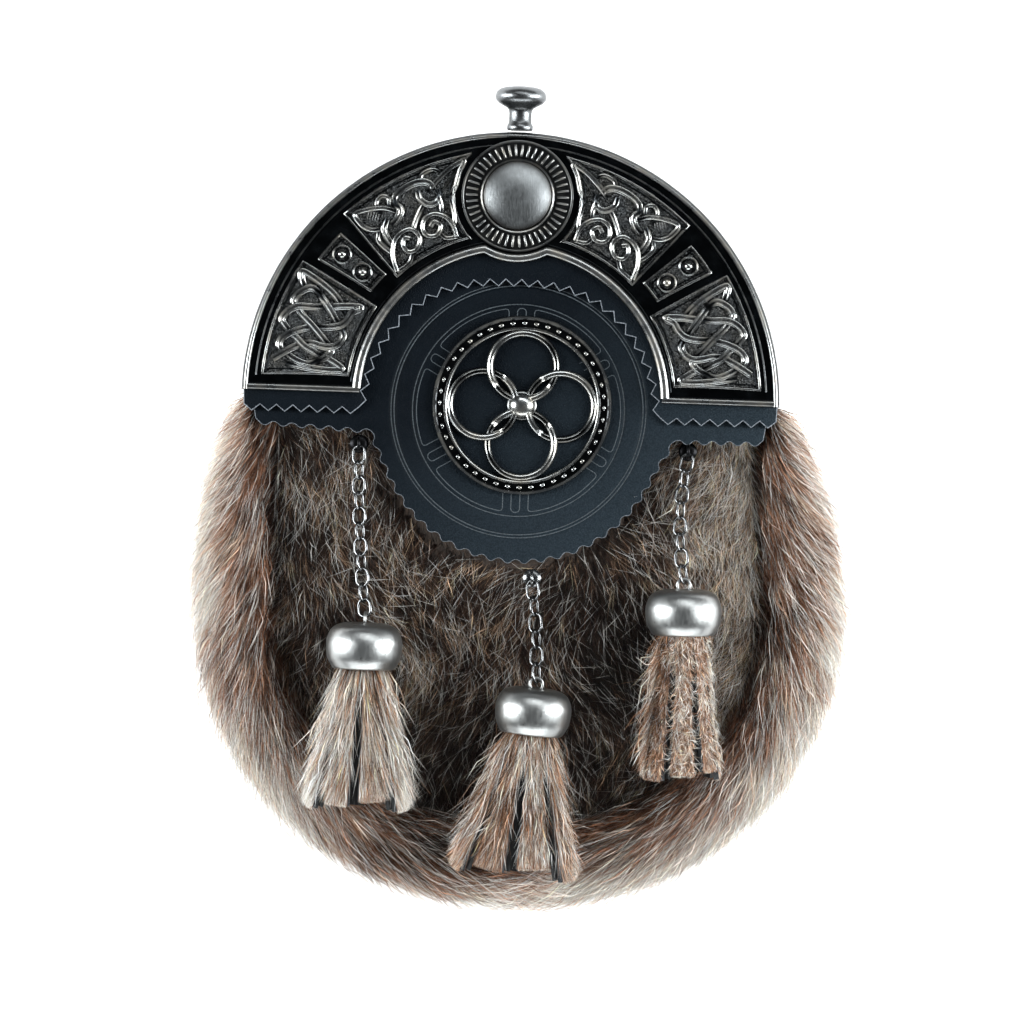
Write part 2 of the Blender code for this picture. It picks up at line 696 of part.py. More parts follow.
def knob_foot_y():
    """Height of the knob's foot in the cantle's axes, so that its top is the pouch's highest point."""
    top = (HALF_HEIGHT - CANTLE_AT[1]) / math.cos(CANTLE_TURN)
    lifted = top - abs(math.tan(CANTLE_TURN)) * KNOB_SECTION[1][0]
    return lifted - KNOB_HEIGHT


def build_knob(parts, seat):
    """The finial, turned about the arch's own axis, its foot on the flange."""
    knob = turned("knob", KNOB_SECTION, 12, parts, "pewter")
    foot_y = knob_foot_y()
    knob.matrix_world = (
        Matrix.Translation((0, foot_y * MM, (CANTLE_Z + CANTLE_THICK - FLANGE_DEEP / 2) * MM))
        @ Matrix.Rotation(math.radians(-90), 4, "X")
    )
    knob.parent = seat
    return knob


def build_badge(parts, seat):
    """A pierced round badge: four interlaced rings inside a band, with a domed middle."""
    low = FLAP_Z + FLAP_THICK + GAP
    middle = (BADGE["x"], BADGE["y"])
    outer, inner = (arc(middle, BADGE[edge], 0, 342, 19) for edge in ("outer", "inner"))
    pieces = [flat_outline("band", [outer, inner], low, BADGE["thick"], parts)]
    for turn in (0, 90, 180, 270):
        centre = arc(middle, BADGE_RINGS["away"], turn, turn, 1)[0]
        around = BADGE_RINGS["around"]
        ring = arc(centre, BADGE_RINGS["radius"], 3, 363 - 360 / around, around - 1)
        height = low + BADGE["wire"] - SUNK * (turn % 180 == 0)
        pieces.append(wire("ring", ring, BADGE["wire"], parts, cyclic=True, height=height))
    hub = turned("hub", HUB_SECTION, 12, parts)
    hub.location = (middle[0] * MM, middle[1] * MM, low * MM)
    badge = fused("badge", pieces + [hub], parts, "pewter", solver="MANIFOLD")
    badge.parent = seat
    return badge


def link(shape, length, width, wire_thick, matrix, around, sides):
    """An oblong link: a ring whose halves are drawn apart along its own X."""
    rows = []
    radius = (width - wire_thick) / 2
    stretch = (length - width) / 2
    for i in range(around):
        turn = 2 * math.pi * (i + 0.5) / around
        ring = []
        for k in range(sides):
            spin = 2 * math.pi * k / sides
            away = radius + wire_thick / 2 * math.cos(spin)
            x = away * math.cos(turn) + math.copysign(stretch, math.cos(turn))
            place = Vector((x, away * math.sin(turn), wire_thick / 2 * math.sin(spin)))
            ring.append(shape.verts.new((matrix @ place) * MM))
        rows.append(ring)
    for i in range(around):
        low, high = rows[i], rows[(i + 1) % around]
        for k in range(sides):
            j = (k + 1) % sides
            shape.faces.new((low[k], low[j], high[j], high[k]))


def drop_frame(start, end, roll):
    """Axes at the middle between two places: X along them, turned about it by roll degrees."""
    along = (end - start).normalized()
    side = along.cross(Vector((0, 0, 1))).normalized()
    up = side.cross(along)
    axes = Matrix((along, side, up)).transposed().to_4x4()
    return Matrix.Translation((start + end) / 2) @ axes @ Matrix.Rotation(math.radians(roll), 4, "X")


def bell_place(bell_x, bell_y):
    """Where a bell's middle lies when its side rests on the front pelt."""
    return Vector((bell_x, bell_y, seat_height(bell_x, bell_y, BELL_RADIUS / 2) + GAP + BELL_RADIUS))


def hanger_place(x, y):
    """The middle of a hanger's ring, which stands on its base on the front pelt."""
    base_z = seat_height(x, y, HANGER_BASE["radius"]) + GAP
    return Vector((x, y, base_z + HANGER_BASE["thick"] + EYE["radius"]))


def ring_piece(name, frame, collection):
    """A plain ring in the frame's X and Y."""

    def draw(shape):
        size = 2 * EYE["radius"] + EYE["wire"]
        link(shape, size, size, EYE["wire"], frame, LINK["around"], LINK["wire_sides"])

    return mesh_object(name, draw, collection)


def build_drop(row, parts):
    """One hanger, its chain, its bell and its tassel."""
    name, hanger_x, hanger_y, bell_x, bell_y, tip_x, tip_y, half_width, bow = row
    bell = bell_place(bell_x, bell_y)
    hanger = hanger_place(hanger_x, hanger_y)
    tip_z = max(pelt_height(tip_x + s * half_width, tip_y) for s in (-1, 0, 1))
    tip = Vector((tip_x, tip_y, tip_z + GAP + STRIP["tip_half_depth"] + STRIP["thick"] / 2 + 0.6))
    up = (bell - tip).normalized()
    bell_axes = up.to_track_quat("Z", "X").to_matrix().to_4x4()
    bell_frame = Matrix.Translation(bell * MM) @ bell_axes
    eye_middle = bell + up * (BELL_TOP + EYE["radius"] - 0.6)
    last_is_flat = chain_count(hanger, eye_middle) % 2 == 1
    build_bell(name, bell_frame, eye_middle, up, 90 if last_is_flat else 0, parts)
    build_hanger(name, hanger, eye_middle, parts)
    build_chain(name, hanger, eye_middle, bow, parts)
    build_tassel(name, bell, tip, half_width, parts)


def build_bell(name, frame, eye_middle, up, eye_roll, parts):
    cup = turned("cup", BELL_SECTION, 12, parts)
    cup.matrix_world = frame
    eye_frame = drop_frame(eye_middle - up, eye_middle + up, eye_roll)
    eye = ring_piece("eye", eye_frame, parts)
    return fused("bell_" + name, [cup, eye], parts, "pewter")


def build_hanger(name, middle, towards, parts):
    """A small ring standing on a round base."""
    base = HANGER_BASE
    section = ((0, base["thick"]), (base["radius"], base["thick"]), (base["radius"], 0), (0, 0))
    foot = turned("foot", section, 8, parts)
    foot_z = middle.z - EYE["radius"] - base["thick"]
    foot.location = (middle.x * MM, middle.y * MM, foot_z * MM)
    away = (towards - middle).normalized()
    ring = ring_piece("ring", drop_frame(middle - away, middle + away, 90), parts)
    return fused("hanger_" + name, [foot, ring], parts, "dark_metal")


def chain_path(start, end, bow, count):
    """Ends of each link along a shallow sideways bow."""
    side = (end - start).cross(Vector((0, 0, 1))).normalized()
    places = []
    for i in range(count + 1):
        share = i / count
        places.append(start.lerp(end, share) + side * bow * math.sin(math.pi * share))
    return places


def chain_ends(hanger, eye_middle):
    """Where the middle of the end links' wire lies: inside the hanger's ring and the bell's eye."""
    away = (eye_middle - hanger).normalized()
    reach = EYE["radius"] - EYE["wire"] / 2 - GAP - LINK["wire"] / 2
    return hanger + away * reach, eye_middle - away * reach


def chain_count(hanger, eye_middle):
    start, end = chain_ends(hanger, eye_middle)
    return round(((end - start).length - LINK["wire"] + LINK["fuse"]) / LINK["pitch"])


def build_chain(name, hanger, eye_middle, bow, parts):
    """Oblong links, each turned a quarter from the last, from the hanger's ring to the bell's eye."""
    wire_thick, fuse = LINK["wire"], LINK["fuse"]
    start, end = chain_ends(hanger, eye_middle)
    inset = (end - start).normalized() * (wire_thick - fuse) / 2
    places = chain_path(start + inset, end - inset, bow, chain_count(hanger, eye_middle))
    links = []
    for i, (first, last) in enumerate(zip(places, places[1:])):
        frame = drop_frame(first, last, 90 if i % 2 else 0)
        length = (last - first).length + 2 * wire_thick - fuse

        def draw(shape, frame=frame, length=length):
            link(shape, length, LINK["width"], wire_thick, frame, LINK["around"], LINK["wire_sides"])

        links.append(mesh_object("link", draw, parts))
    return fused("chain_" + name, links, parts, "chain_metal")


def build_tassel(name, bell, tip, half_width, parts):
    """Strips of pelt fused to a round head inside the bell and spread flat towards the tip."""
    along = (tip - bell).normalized()
    side = along.cross(Vector((0, 0, 1))).normalized()
    up = side.cross(along) * -1
    if up.z < 0:
        up = -up
    start = bell + along * (-BELL_MOUTH - STRIP["start_in_bell"])
    length = (tip - start).length
    head = turned("head", HEAD_SECTION, 12, parts)
    head.matrix_world = Matrix.Translation(start * MM) @ (-along).to_track_quat("Z", "X").to_matrix().to_4x4()
    pieces = [head]
    inner = STRIP["head"] * 0.7
    for i in range(STRIPS):
        turn = 2 * math.pi * (i + 0.4) / STRIPS
        across, out = math.cos(turn), math.sin(turn)
        width = 2 * math.pi * STRIP["head"] / STRIPS * 1.02
        tip_width = width * (1.0 + 0.35 * (half_width / 14.0) * abs(out))

        def ring(share, across=across, out=out, width=width, tip_width=tip_width):
            reach_side = inner + (half_width - 1.5 - inner) * share**1.3
            reach_up = inner + (STRIP["tip_half_depth"] - inner) * share
            centre = start + along * (length * share) + side * across * reach_side + up * out * reach_up
            outward = (side * across + up * out).normalized()
            edge = along.cross(outward).normalized()
            half = (width + (tip_width - width) * share) / 2
            thick = STRIP["thick"] / 2 * (1 - 0.25 * share)
            corners = ((-1, -1), (1, -1), (1, 1), (-1, 1))
            return [centre + edge * half * a + outward * thick * b for a, b in corners]

        def draw(shape, ring=ring):
            loft(shape, [ring(0.0), ring(0.5), ring(1.0 - 0.03 * (i % 3))])

        pieces.append(mesh_object("strip", draw, parts))
    return fused("tassel_" + name, pieces, parts, "fur")


def main():
    clear_scene()
    make_materials()
    parts = new_collection("parts")
    seat = bpy.data.objects.new("cantle_seat", None)
    parts.objects.link(seat)
    seat.location = (CANTLE_AT[0] * MM, CANTLE_AT[1] * MM, 0)
    seat.rotation_euler.z = CANTLE_TURN
    build_roll(parts)
    build_front_pelt(parts)
    build_back_panel(parts)
    for side in ("left", "right"):
        build_strap_loop(side, parts)
    build_arch_gusset(parts, seat)
    build_flap(parts, seat)
    build_gasket(parts, seat)
    build_cantle(parts, seat)
    build_targe(parts, seat)
    build_knob(parts, seat)
    build_badge(parts, seat)
    for row in DROPS:
        build_drop(row, parts)


main()
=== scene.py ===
"""Looks of the sporran pouch that lies on its back: a fur pouch under an arched metal cantle.

Sizes are in millimetres, and finished meshes become metres through MM. +Y runs up the pouch towards
its knob and +Z out of its front. The cantle, its leathers and the badge are drawn in the cantle's own
axes, which sit turned by CANTLE_TURN about CANTLE_AT.
"""

from __future__ import annotations

import logging
import math
from dataclasses import dataclass, field
from enum import Enum
from functools import cache, cached_property
from typing import Callable, Iterable, Sequence

import bmesh
import bpy
import numpy as np
from mathutils import Matrix, Vector


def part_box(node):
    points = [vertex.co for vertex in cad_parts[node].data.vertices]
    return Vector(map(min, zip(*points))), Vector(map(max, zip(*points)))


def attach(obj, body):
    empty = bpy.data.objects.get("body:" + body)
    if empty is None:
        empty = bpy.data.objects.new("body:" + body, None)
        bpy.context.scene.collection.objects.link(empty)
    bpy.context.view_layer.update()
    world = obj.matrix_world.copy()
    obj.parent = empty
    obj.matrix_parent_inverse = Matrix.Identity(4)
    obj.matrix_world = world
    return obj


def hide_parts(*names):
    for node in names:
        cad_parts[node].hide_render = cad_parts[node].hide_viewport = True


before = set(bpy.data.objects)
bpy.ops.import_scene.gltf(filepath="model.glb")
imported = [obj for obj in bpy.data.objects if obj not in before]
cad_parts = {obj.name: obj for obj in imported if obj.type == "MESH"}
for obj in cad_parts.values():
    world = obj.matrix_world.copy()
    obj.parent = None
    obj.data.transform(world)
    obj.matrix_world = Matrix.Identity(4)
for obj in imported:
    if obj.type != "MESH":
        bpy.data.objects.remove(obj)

log = logging.getLogger("sporran")
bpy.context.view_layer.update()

MM = 0.001
BODY = "root"

Place = tuple[float, float]
Outline = list[Place]
Triple = tuple[float, float, float]
Colour = Triple
Rows = np.ndarray  # places or numbers, one row each
Shape = bmesh.types.BMesh
Face = bmesh.types.BMFace
Mesh = bpy.types.Mesh
Socket = bpy.types.NodeSocket

# The pouch's outline, as the CAD draws it.
EGG_MIDDLE_Y, EGG_POWER, LEAN = -29.8, 2.1, -2.5
OUTER = {"half_width": 88.9, "below": 82.5, "above": 107.0, "taper": 1.0}
CREASE = {"half_width": 67.6, "below": 61.8, "above": 107.0, "taper": 0.15}
LEFT_END_Y, RIGHT_END_Y = 28.2, 23.3
SEAM_ANGLE = 270.6  # where the fur of both sides meets, at the bottom
ROLL_STEPS, ARCH_STEPS = 84, 42

# Layers from the floor up.
EDGE_Z, EDGE_Z_UNDER_CANTLE = 28.6, 35.0
EDGE_RISE_FROM_Y, EDGE_RISE_TO_Y = 12.0, 35.0
ROLL_TOP_Z = 36.3
PELT_PEAK_Z = 37.0
PELT_MIDDLE = (0.0, -8.0)
FLAP_Z, GASKET_Z = 37.3, 39.1
LEATHER_THICK = 1.5

# The cantle's axes and its arch.
CANTLE_AT = (-2.5, 26.0)
CANTLE_TURN = math.radians(-2.0)
CANTLE_AXES = Matrix.Translation((*CANTLE_AT, 0)) @ Matrix.Rotation(CANTLE_TURN, 4, "Z")
CANTLE_RADIUS, INNER_RADIUS = 73.8, 40.8
CANTLE_FOOT_Y = 0.8
TARGE_Y, TARGE_BUMP = 55.9, 18.2
ARCH_GUSSET_RADIUS = 68.2


# ---------------------------------------------------------------- places and outlines


def arc(middle: Place, radius: float, first: float, last: float, steps: int) -> Outline:
    """Places on an arc, in degrees counter-clockwise from +X, both ends included."""
    turns = np.radians(np.linspace(first, last, steps + 1))
    return [(middle[0] + radius * math.cos(t), middle[1] + radius * math.sin(t)) for t in turns]


def level(outline: Iterable[Place], z: float) -> Rows:
    """The places of an outline at this height."""
    return np.array([(x, y, z) for x, y in outline])


def inset_outline(outline: Outline, inwards: float) -> Outline:
    """A closed counter-clockwise outline moved inwards by this much.

    Args:
        outline: the places of the outline.
        inwards: how far each place moves.

    Returns:
        As many places as the outline has.
    """
    points = np.array(outline)
    along = np.roll(points, -1, axis=0) - np.roll(points, 1, axis=0)
    along /= np.linalg.norm(along, axis=1, keepdims=True)
    moved = points + np.column_stack((-along[:, 1], along[:, 0])) * inwards
    return [tuple(place) for place in moved]


def smooth_path(points: Sequence[Sequence[float]], steps: int, closed: bool = False) -> Rows:
    """A Catmull-Rom curve through places of two or three numbers.

    Args:
        points: the places that the curve passes.
        steps: pieces that each span is cut into.
        closed: whether the curve comes back to its start.

    Returns:
        The places along the curve.
    """
    knots = np.array(points, float)
    if closed:
        knots = np.vstack((knots[-1], knots, knots[:2]))
    else:
        knots = np.vstack((2 * knots[0] - knots[1], knots, 2 * knots[-1] - knots[-2]))
    rows = []
    for a, b, c, d in zip(knots, knots[1:], knots[2:], knots[3:]):
        for share in np.arange(steps) / steps:
            rows.append(
                0.5 * (2 * b + (c - a) * share + (2 * a - 5 * b + 4 * c - d) * share**2
                       + (3 * b - a - 3 * c + d) * share**3)
            )
    if not closed:
        rows.append(knots[-2])
    return np.array(rows)


def egg_points(egg: dict[str, float], angles: Rows) -> Rows:
    """Places on the pouch's outline: angle 0 is its right side and 270 its bottom.

    Args:
        egg: the outline's sizes.
        angles: degrees, one for each place.

    Returns:
        X and Y for each angle.
    """
    cos, sin = np.cos(np.radians(angles)), np.sin(np.radians(angles))
    low = sin <= 0
    power = np.where(low, 2 / EGG_POWER, egg["taper"])
    x = np.copysign(egg["half_width"] * np.abs(cos) ** power, cos)
    x = np.where(low, x, x + LEAN * sin / 0.54)
    below = EGG_MIDDLE_Y - egg["below"] * np.abs(sin) ** (2 / EGG_POWER)
    return np.column_stack((x, np.where(low, below, EGG_MIDDLE_Y + egg["above"] * sin)))


def end_angle(end_y: float) -> float:
    """The angle at which the outline reaches this height on its right side."""
    return math.degrees(math.asin((end_y - EGG_MIDDLE_Y) / OUTER["above"]))


ROLL_FIRST, ROLL_LAST = 180 - end_angle(LEFT_END_Y), 360 + end_angle(RIGHT_END_Y)


def to_pouch(places: Rows) -> Rows:
    """X and Y in the cantle's axes, turned and moved to the pouch's."""
    cos, sin = math.cos(CANTLE_TURN), math.sin(CANTLE_TURN)
    return places @ np.array(((cos, sin), (-sin, cos))) + np.array(CANTLE_AT)


def to_cantle(places: Rows) -> Rows:
    """X and Y of the pouch, moved and turned to the cantle's axes."""
    cos, sin = math.cos(CANTLE_TURN), math.sin(CANTLE_TURN)
    return (places - np.array(CANTLE_AT)) @ np.array(((cos, -sin), (sin, cos)))


def pouch_outline(share: float, radius: float, stations: int, arch_steps: int) -> Outline:
    """Counter-clockwise from the upper left: along the roll, then over the arch.

    Args:
        share: place between the crease, 0, and the outer edge, 1.
        radius: the arch's radius in the cantle's axes.
        stations: steps along the roll.
        arch_steps: steps over the arch.

    Returns:
        The outline's places.
    """
    angles = np.linspace(ROLL_FIRST, ROLL_LAST, stations + 1)
    crease, outer = egg_points(CREASE, angles), egg_points(OUTER, angles)
    arch = to_pouch(np.array(arc((0, 0), radius, 2, 178, arch_steps)))
    return [tuple(row) for row in np.vstack((crease + (outer - crease) * share, arch))]


def pelt_outline(stations: int, arch_steps: int) -> Rows:
    """The front pelt's edge, just inside the crease and the wall under the arch."""
    return np.array(inset_outline(pouch_outline(0.0, ARCH_GUSSET_RADIUS - 2.3, stations, arch_steps), 0.3))


PELT_OUTLINE, PELT_CORNERS = pelt_outline(ROLL_STEPS, ARCH_STEPS), pelt_outline(28, 14)


def edge_heights(y: Rows) -> Rows:
    """Height of the front pelt's edge: low along the crease and higher under the cantle."""
    share = np.clip((y - EDGE_RISE_FROM_Y) / (EDGE_RISE_TO_Y - EDGE_RISE_FROM_Y), 0, 1)
    return EDGE_Z + (EDGE_Z_UNDER_CANTLE - EDGE_Z) * share


def pelt_height(x: float, y: float) -> float:
    """Height of the front pelt's fur above the floor.

    Args:
        x: the place's X.
        y: the place's Y.

    Returns:
        The height, which is the roll's own beyond the pelt's edge.
    """
    away = np.array((x, y)) - PELT_MIDDLE
    reach = float(np.linalg.norm(away))
    if reach < 0.01:
        return PELT_PEAK_Z
    spokes = PELT_CORNERS - PELT_MIDDLE
    lengths = np.linalg.norm(spokes, axis=1)
    nearest = int(np.argmax(spokes @ away / lengths))
    share = reach / lengths[nearest]
    low = float(edge_heights(PELT_CORNERS[nearest, 1]))
    return ROLL_TOP_Z if share > 1 else low + (PELT_PEAK_Z - low) * (1 - share**3)


# ---------------------------------------------------------------- shader work


@dataclass
class Bench:
    """Places and joins the nodes of one tree. A value may be a number, a tuple or another socket."""

    tree: bpy.types.NodeTree

    def feed(self, socket: Socket, value) -> None:
        """Joins a socket to another or sets it; a colour may leave out its alpha."""
        if isinstance(value, bpy.types.NodeSocket):
            self.tree.links.new(value, socket)
        else:
            socket.default_value = (*value, 1.0) if socket.type == "RGBA" and len(value) == 3 else value

    def put(self, kind: str, inputs: dict | None = None, **settings) -> bpy.types.Node:
        """A new node.

        Args:
            kind: the node's type.
            inputs: what feeds each socket, by name or number.
            settings: the node's own settings.

        Returns:
            The node.
        """
        node = self.tree.nodes.new(kind)
        for name, value in settings.items():
            setattr(node, name, value)
        for name, value in (inputs or {}).items():
            self.feed(node.inputs[name], value)
        return node

    def group(self, tree: bpy.types.NodeTree, **inputs) -> dict[str, Socket]:
        """The outputs of a shared group that is placed with these values."""
        return self.put("ShaderNodeGroup", inputs, node_tree=tree).outputs

    def maths(self, operation: str, first, second=0.0, clamp: bool = False) -> Socket:
        """The result of a Math node."""
        node = self.put("ShaderNodeMath", {0: first, 1: second}, operation=operation, use_clamp=clamp)
        return node.outputs[0]

    def blend(self, share, first, second) -> Socket:
        """The colour between two colours."""
        return self.put("ShaderNodeMix", {0: share, 6: first, 7: second}, data_type="RGBA").outputs[2]

    def spread(self, value, low: float, high: float, new_low: float = 0.0, new_high: float = 1.0) -> Socket:
        """The value moved from one range to another, and kept inside it."""
        ranges = {"From Min": low, "From Max": high, "To Min": new_low, "To Max": new_high}
        return self.put("ShaderNodeMapRange", {"Value": value, **ranges}).outputs[0]

    def noise(self, where, scale: float, detail: float, roughness: float) -> Socket:
        """A Noise Texture's value, for sizes of 1 / scale metres."""
        inputs = {"Vector": where, "Scale": scale, "Detail": detail, "Roughness": roughness}
        return self.put("ShaderNodeTexNoise", inputs).outputs[0]

    def stretched(self, where, scale: Colour) -> Socket:
        """The place with its three ways scaled."""
        return self.put("ShaderNodeMapping", {"Vector": where, "Scale": scale}).outputs[0]

    def stored(self, name: str) -> bpy.types.Node:
        """The node that reads an attribute of the mesh."""
        return self.put("ShaderNodeAttribute", attribute_name=name)

    def bump(self, height, distance: float, strength: float = 1.0) -> Socket:
        """A Bump node's normal, for a height of 0 to 1 and a depth in metres."""
        inputs = {"Height": height, "Distance": distance, "Strength": strength}
        return self.put("ShaderNodeBump", inputs).outputs[0]

    def places(self) -> Socket:
        """Object coordinates, in metres."""
        return self.put("ShaderNodeTexCoord").outputs["Object"]


def new_group(name: str, inputs: dict[str, float], outputs: Sequence[str]) -> tuple[Bench, dict, dict]:
    """An empty node group, whose first input is the place, Where.

    Args:
        name: the group's name.
        inputs: each other input's name and usual value.
        outputs: each output's name.

    Returns:
        The bench to fill it on, its input sockets and its output sockets, by name.
    """
    tree = bpy.data.node_groups.new(name, "ShaderNodeTree")
    tree.interface.new_socket("Where", in_out="INPUT", socket_type="NodeSocketVector")
    for title, value in inputs.items():
        tree.interface.new_socket(title, in_out="INPUT", socket_type="NodeSocketFloat").default_value = value
    for title in outputs:
        tree.interface.new_socket(title, in_out="OUTPUT", socket_type="NodeSocketFloat")
    bench = Bench(tree)
    given, made = bench.put("NodeGroupInput"), bench.put("NodeGroupOutput")
    return bench, {s.name: s for s in given.outputs if s.name}, {s.name: s for s in made.inputs if s.name}


class SharedShading:
    """Node groups that several finishes place with their own values, each built when first asked for."""

    @cached_property
    def grain(self) -> bpy.types.NodeTree:
        """Pebbled leather or cast ground: cells of a given size, uneven in height."""
        bench, given, made = new_group("Grain", {"Scale": 1000.0, "Depth": 1.0}, ("Height", "Pit"))
        size = {"Vector": given["Where"], "Scale": given["Scale"]}
        cells = bench.put("ShaderNodeTexVoronoi", {**size, "Randomness": 1.0}, feature="SMOOTH_F1")
        fine = bench.put("ShaderNodeTexNoise", {**size, "Detail": 4.0})
        mixed = bench.maths("ADD", bench.maths("MULTIPLY", cells.outputs["Distance"], 1.2), fine.outputs[0])
        bench.feed(made["Height"], bench.maths("MULTIPLY", mixed, given["Depth"]))
        bench.feed(made["Pit"], bench.spread(mixed, 0.55, 1.25))
        return bench.tree

    @cached_property
    def wear(self) -> bpy.types.NodeTree:
        """How worn a place of a cast piece is, from the height stored in its mesh and some patches."""
        bench, given, made = new_group("Edge wear", {"From": 0.4, "To": 0.9, "Patches": 0.35}, ("Mask",))
        patches = bench.noise(given["Where"], 420.0, 5.0, 0.6)
        uneven = bench.maths("MULTIPLY", bench.maths("SUBTRACT", patches, 0.5), given["Patches"])
        raised = bench.maths("ADD", bench.stored("relief").outputs["Fac"], uneven)
        span = bench.maths("SUBTRACT", given["To"], given["From"])
        above = bench.maths("SUBTRACT", raised, given["From"])
        bench.feed(made["Mask"], bench.maths("DIVIDE", above, span, clamp=True))
        return bench.tree

    @cached_property
    def dust(self) -> bpy.types.NodeTree:
        """Sparse pale specks."""
        bench, given, made = new_group("Dust", {"Scale": 900.0, "Amount": 0.1}, ("Mask",))
        specks = bench.put("ShaderNodeTexVoronoi", {"Vector": given["Where"], "Scale": given["Scale"]})
        near = bench.spread(specks.outputs["Distance"], 0.06, 0.02)
        chosen = bench.maths("LESS_THAN", specks.outputs["Color"], given["Amount"])
        bench.feed(made["Mask"], bench.maths("MULTIPLY", near, chosen))
        return bench.tree


SHARED = SharedShading()


@dataclass(frozen=True)
class Finish:
    """A material of this object. Each kind of finish says what feeds its shader."""

    name: str

    def feeds(self, bench: Bench) -> dict[str, object]:
        """Values and sockets for the Principled shader's inputs, by name."""
        raise NotImplementedError

    @cache
    def material(self) -> bpy.types.Material:
        """The Blender material, made once.

        Returns:
            A material whose Principled shader is fed by this finish.
        """
        material = bpy.data.materials.new(self.name)
        material.use_nodes = True
        bench = Bench(material.node_tree)
        shader = material.node_tree.nodes["Principled BSDF"]
        for title, value in self.feeds(bench).items():
            bench.feed(shader.inputs[title], value)
        return material


@dataclass(frozen=True)
class Leather(Finish):
    """Dyed calf leather with a fine pebbled grain, painted paler towards one side as a painted sheen."""

    colour: Colour = (0.0010, 0.0024, 0.0042)
    pale: Colour = (0.0032, 0.0058, 0.0090)
    # Painted sheen: the next colour is painted over the leather towards the lower right, where the lamps'
    # sheen lies; the way two lines below points there.
    painted_sheen: Colour = (0.033, 0.047, 0.059)
    speck: Colour = (0.35, 0.36, 0.38)
    sheen_way: Colour = (0.55, -0.83, 0.0)
    grain_scale: float = 2700.0
    grain_depth: float = 0.00014
    roughness: float = 0.55

    def feeds(self, bench: Bench) -> dict[str, object]:
        """Grain, soft patches, a broad painted sheen on one side with painted glints on the grain, and specks
        of dust.
        """
        where = bench.places()
        grain = bench.group(SHARED.grain, Where=where, Scale=self.grain_scale)
        patches = bench.spread(bench.noise(where, 60.0, 5.0, 0.6), 0.35, 0.7)
        colour = bench.blend(bench.maths("MULTIPLY", patches, 0.5), self.colour, self.pale)
        slope = bench.put("ShaderNodeVectorMath", {0: where, 1: self.sheen_way}, operation="DOT_PRODUCT")
        # Painted sheen: a broad paler band towards the lower right, strongest on the grain's peaks as painted
        # glints.
        painted_sheen = bench.spread(slope.outputs["Value"], -0.035, 0.055)
        grain_glints = bench.maths("MULTIPLY", bench.maths("SUBTRACT", 1.8, grain["Pit"]), 0.52)
        colour = bench.blend(bench.maths("MULTIPLY", painted_sheen, grain_glints), colour, self.painted_sheen)
        dust = bench.group(SHARED.dust, Where=where, Amount=0.16)
        return {
            "Base Color": bench.blend(bench.maths("MULTIPLY", dust["Mask"], 0.10), colour, self.speck),
            "Roughness": bench.spread(patches, 0.0, 1.0, self.roughness - 0.06, self.roughness + 0.08),
            "Normal": bench.bump(grain["Height"], self.grain_depth, 0.9),
            "Specular IOR Level": 0.06,
        }


@dataclass(frozen=True)
class CutEdge(Finish):
    """The raw edge of cut leather: fibrous and paler than the face."""

    colour: Colour = (0.24, 0.26, 0.29)
    dark: Colour = (0.05, 0.06, 0.07)

    def feeds(self, bench: Bench) -> dict[str, object]:
        """Fibres as a strong fine noise."""
        fibres = bench.noise(bench.places(), 2600.0, 4.0, 0.7)
        colour = bench.blend(bench.spread(fibres, 0.38, 0.62), self.dark, self.colour)
        return {"Base Color": colour, "Roughness": 0.75, "Normal": bench.bump(fibres, 0.00025)}


@dataclass(frozen=True)
class CastMetal(Finish):
    """Blackened cast metal, worn bright where it stands proud, and grained where it has a grain scale."""

    low: Colour = (0.012, 0.013, 0.015)
    high: Colour = (0.42, 0.41, 0.385)
    wear_from: float = 0.35
    wear_to: float = 0.95
    roughness: float = 0.26
    grain_scale: float = 0.0
    grain_depth: float = 0.0
    tarnish: Colour = (0.9, 0.82, 0.72)

    def feeds(self, bench: Bench) -> dict[str, object]:
        """Dark in the hollows and bright on the ridges, with warm clouds."""
        where = bench.places()
        wear = bench.group(SHARED.wear, Where=where, From=self.wear_from, To=self.wear_to)
        cloud = bench.noise(where, 230.0, 4.0, 0.55)
        warm = tuple(part * share for part, share in zip(self.high, self.tarnish))
        bright = bench.blend(bench.spread(cloud, 0.4, 0.7), self.high, warm)
        colour = bench.blend(wear["Mask"], self.low, bright)
        if self.grain_scale:
            grain = bench.group(SHARED.grain, Where=where, Scale=self.grain_scale)
            normal = bench.bump(grain["Height"], self.grain_depth)
            colour = bench.blend(bench.maths("MULTIPLY", grain["Pit"], 0.75), colour, self.low)
        else:
            rough = bench.maths("MULTIPLY", bench.noise(where, 700.0, 5.0, 0.6), 0.25)
            normal = bench.bump(rough, 0.00012)
        roughness = bench.spread(cloud, 0.3, 0.7, self.roughness - 0.07, self.roughness + 0.1)
        return {"Base Color": colour, "Roughness": roughness, "Metallic": 1.0, "Normal": normal}


@dataclass(frozen=True)
class SatinMetal(Finish):
    """Pewter or steel with a satin face: fine scratches, darker patches where its stored relief is low, which
    is its hollows and, on the targe dome, also painted shade at the rim.
    """

    colour: Colour = (0.47, 0.465, 0.455)
    shade: Colour = (0.20, 0.195, 0.19)
    roughness: float = 0.30
    stretch: Colour = (1.0, 1.0, 1.0)

    def feeds(self, bench: Bench) -> dict[str, object]:
        """Scratches along the stretched way of the noise, over broad clouds."""
        where = bench.places()
        scratches = bench.noise(bench.stretched(where, self.stretch), 2600.0, 5.0, 0.7)
        clouds = bench.spread(bench.noise(where, 260.0, 4.0, 0.6), 0.45, 0.75)
        wear = bench.group(SHARED.wear, Where=where, From=0.0, To=0.6, Patches=0.12)
        base = bench.blend(wear["Mask"], self.shade, self.colour)
        return {
            "Base Color": bench.blend(bench.maths("MULTIPLY", clouds, 0.35), base, self.shade),
            "Roughness": bench.maths("ADD", bench.spread(scratches, 0.3, 0.7, -0.07, 0.09), self.roughness),
            "Metallic": 1.0,
            "Normal": bench.bump(scratches, 0.00004),
        }


